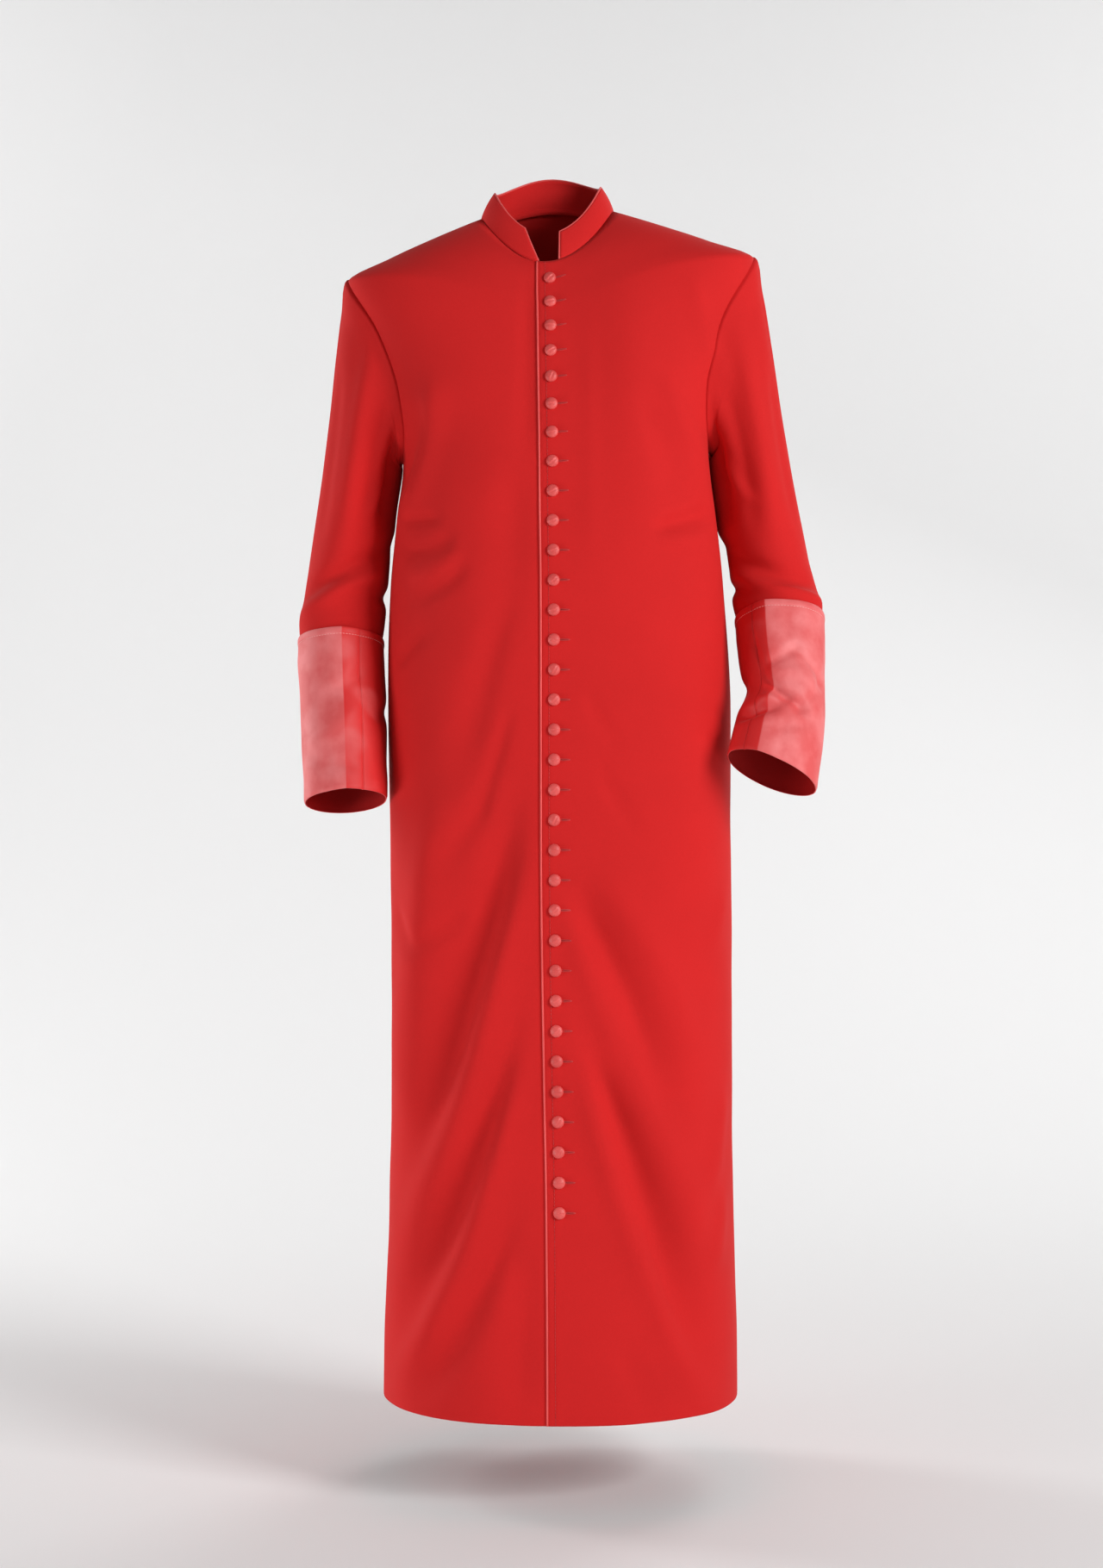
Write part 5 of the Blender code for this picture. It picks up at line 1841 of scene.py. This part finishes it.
@dataclass
class CoveredButtons:
    """Buttons covered with satin, each drawn over its dome with a pinched crease across it."""

    line: ButtonLine
    finishes: Finishes
    height: float = 0.0056
    rings: int = 12
    sides: int = 36

    def mesh(self, crease_turn: float) -> tuple[Points, list]:
        """Points and faces of one button that stands on its foot with +Z out of the cloth.

        Args:
            crease_turn: Turn of the crease, in radians.

        Returns:
            The points, and the faces as corner numbers.
        """
        radius = self.line.radius
        share = np.linspace(0, 1, self.rings)
        swing = share * 0.62 * math.pi
        ring_radius = np.maximum(radius * np.sin(swing), 1e-5)
        ring_height = self.height * (0.30 + 0.70 * np.cos(swing))
        angles = np.arange(self.sides) * 2 * math.pi / self.sides
        x = ring_radius[:, None] * np.cos(angles)
        y = ring_radius[:, None] * np.sin(angles)
        z = np.repeat(ring_height[:, None], self.sides, axis=1)
        across = -x * math.sin(crease_turn) + y * math.cos(crease_turn)
        along = x * math.cos(crease_turn) + y * math.sin(crease_turn)
        ridge = np.exp(-(((across - 0.0004) / 0.0009) ** 2)) * np.exp(-((along / (0.75 * radius)) ** 4))
        dent = np.exp(-(((across + 0.0013) / 0.0011) ** 2)) * np.exp(-((along / (0.75 * radius)) ** 4))
        z = z + (0.0005 * ridge - 0.0006 * dent) * (z > 0.2 * self.height)
        pleats = 0.00012 * np.cos(11 * angles)[None, :] * smooth_step(share, 0.55, 0.85)[:, None]
        x, y = x * (1 + pleats / radius), y * (1 + pleats / radius)
        points = np.stack([x, y, z], axis=-1).reshape(-1, 3)
        faces = [
            (i + s, i + self.sides + s, i + self.sides + (s + 1) % self.sides, i + (s + 1) % self.sides)
            for i in range(0, (self.rings - 1) * self.sides, self.sides)
            for s in range(self.sides)
        ]
        faces.append(tuple((self.rings - 1) * self.sides + s for s in range(self.sides))[::-1])
        return points, faces

    def build(self) -> list[bpy.types.Object]:
        """Makes all buttons.

        Returns:
            The buttons.
        """
        heights = self.line.heights()
        body = self.line.body
        turns = body.front_turn(heights, 0.0)
        drawn = self.line.pull(np.zeros(len(heights)), heights)
        places = body.surface.moved(turns, heights, drawn - 0.0002)
        normals = body.surface.normal(turns, heights)
        made = []
        for number, (place, normal) in enumerate(zip(places, normals), start=1):
            turn = 0.35 + 0.9 * math.sin(1.7 * number) * 0.5 + (0.5 if number % 5 == 0 else 0.0)
            points, faces = self.mesh(turn)
            facing = Vector(normal).to_track_quat("Z", "Y")
            world = np.array([list(facing @ Vector(p)) for p in points]) + place
            piece = plain_mesh(f"covered_button_{number:02d}", world, faces)
            layer = piece.data.uv_layers.new(name="cloth")
            corner = np.empty(len(piece.data.loops), np.int32)
            piece.data.loops.foreach_get("vertex_index", corner)
            layer.data.foreach_set("uv", points[corner, :2].astype(np.float32).ravel())
            dress(piece, [self.finishes.button_satin])
            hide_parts(f"button_{number:02d}")
            made.append(piece)
        LOG.info("%d covered buttons", len(made))
        return made


# The studio


@dataclass(frozen=True)
class SoftLamp:
    """A large soft lamp: its place, what it looks at, its width and height in metres and its watts."""

    name: str
    place: tuple[float, float, float]
    looks_at: tuple[float, float, float]
    width: float
    height: float
    power: float


@dataclass
class Studio:
    """A pale seamless sweep, soft lamps and the camera."""

    floor: float = -1.551
    air_strength: float = 0.165
    camera_place: tuple[float, float, float] = (-0.002, -3.4, -0.6987)
    lens_mm: float = 63.515
    sensor_mm: float = 36.0
    lamps: tuple[SoftLamp, ...] = (
        SoftLamp("key", (3.15, -2.7, 0.6), (0.0, 0.0, -0.85), 1.6, 1.9, 140.0),
        SoftLamp("fill", (-2.5, -1.3, -1.2), (0.0, 0.0, -1.4), 1.0, 1.2, 32.0),
        SoftLamp("rim", (-3.0, 1.6, 0.2), (0.0, 0.0, -0.8), 0.9, 2.6, 44.0),
        SoftLamp("back", (1.6, 2.8, 1.6), (0.0, 0.0, -0.6), 1.6, 2.0, 32.0),
        SoftLamp("wall_left", (-2.6, 2.2, 1.3), (-0.8, 4.6, 0.3), 1.8, 2.6, 36.0),
        SoftLamp("wall_right", (2.6, 2.2, 1.3), (0.8, 4.6, 0.3), 1.8, 2.6, 30.0),
    )

    def build(self) -> None:
        """Makes the sweep, the lamps, the surrounding light and the camera."""
        self.sweep()
        for lamp in self.lamps:
            data = bpy.data.lights.new(lamp.name, "AREA")
            data.shape = "RECTANGLE"
            data.size, data.size_y = lamp.width, lamp.height
            data.energy = lamp.power
            made = bpy.data.objects.new(lamp.name, data)
            made.location = lamp.place
            towards = Vector(lamp.looks_at) - Vector(lamp.place)
            made.rotation_euler = towards.to_track_quat("-Z", "Y").to_euler()
            bpy.context.scene.collection.objects.link(made)
        world = bpy.data.worlds.new("studio_air")
        world.use_nodes = True
        air = world.node_tree.nodes["Background"]
        air.inputs["Color"].default_value = linear("#FFFFFF")
        air.inputs["Strength"].default_value = self.air_strength
        bpy.context.scene.world = world
        bpy.context.scene.view_settings.view_transform = "Standard"
        self.camera()

    def sweep(self) -> None:
        """Makes the floor, which curves up into a wall far behind."""
        profile = [(-9.0, 0.0), (2.0, 0.0)]
        bend = np.linspace(0.1, math.pi / 2, 18)
        profile += [(2.0 + 2.5 * math.sin(a), 2.5 * (1 - math.cos(a))) for a in bend]
        profile += [(4.5, 9.0)]
        points = [(x, y, self.floor + z) for y, z in profile for x in (-9.0, 9.0)]
        faces = [(2 * i, 2 * i + 1, 2 * i + 3, 2 * i + 2) for i in range(len(profile) - 1)]
        piece = plain_mesh("studio_sweep", np.array(points), faces)
        piece.data.materials.append(StudioPaper().build())

    def camera(self) -> None:
        """Sets the camera level with the garment's middle, 3.4 m in front of it."""
        data = bpy.data.cameras.new("studio_camera")
        data.sensor_width = self.sensor_mm
        data.lens = self.lens_mm
        camera = bpy.data.objects.new("studio_camera", data)
        camera.location = self.camera_place
        camera.rotation_euler = (math.radians(90), 0.0, 0.0)
        bpy.context.scene.collection.objects.link(camera)
        bpy.context.scene.camera = camera


def main() -> None:
    """Builds the garment's pieces in the order in which they are sewn, and reports each."""
    logging.basicConfig(level=logging.INFO, format="%(name)s: %(message)s")
    Studio().build()
    finishes = Finishes()
    body = BodyForm()
    line = ButtonLine(body)
    left, right = ArmForm(Hand.LEFT, LEFT_ARM, body), ArmForm(Hand.RIGHT, RIGHT_ARM, body)
    Back(body, finishes).build()
    RightFront(body, finishes).build()
    LeftFront(body, finishes, buttons=line).build()
    Sleeve(left, LEFT_SLEEVE_CREASES, finishes).build()
    Sleeve(right, RIGHT_SLEEVE_CREASES, finishes).build()
    Cuff(left, LEFT_CUFF_CREASES, 48.0, 68.0, -0.612, finishes).build()
    Cuff(right, RIGHT_CUFF_CREASES, 61.0, 85.0, -0.500, finishes).build()
    Collar(body, finishes).build()
    FrontSewing(body, line, finishes).build()
    CoveredButtons(line, finishes).build()
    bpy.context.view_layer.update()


if __name__ == "__main__":
    main()
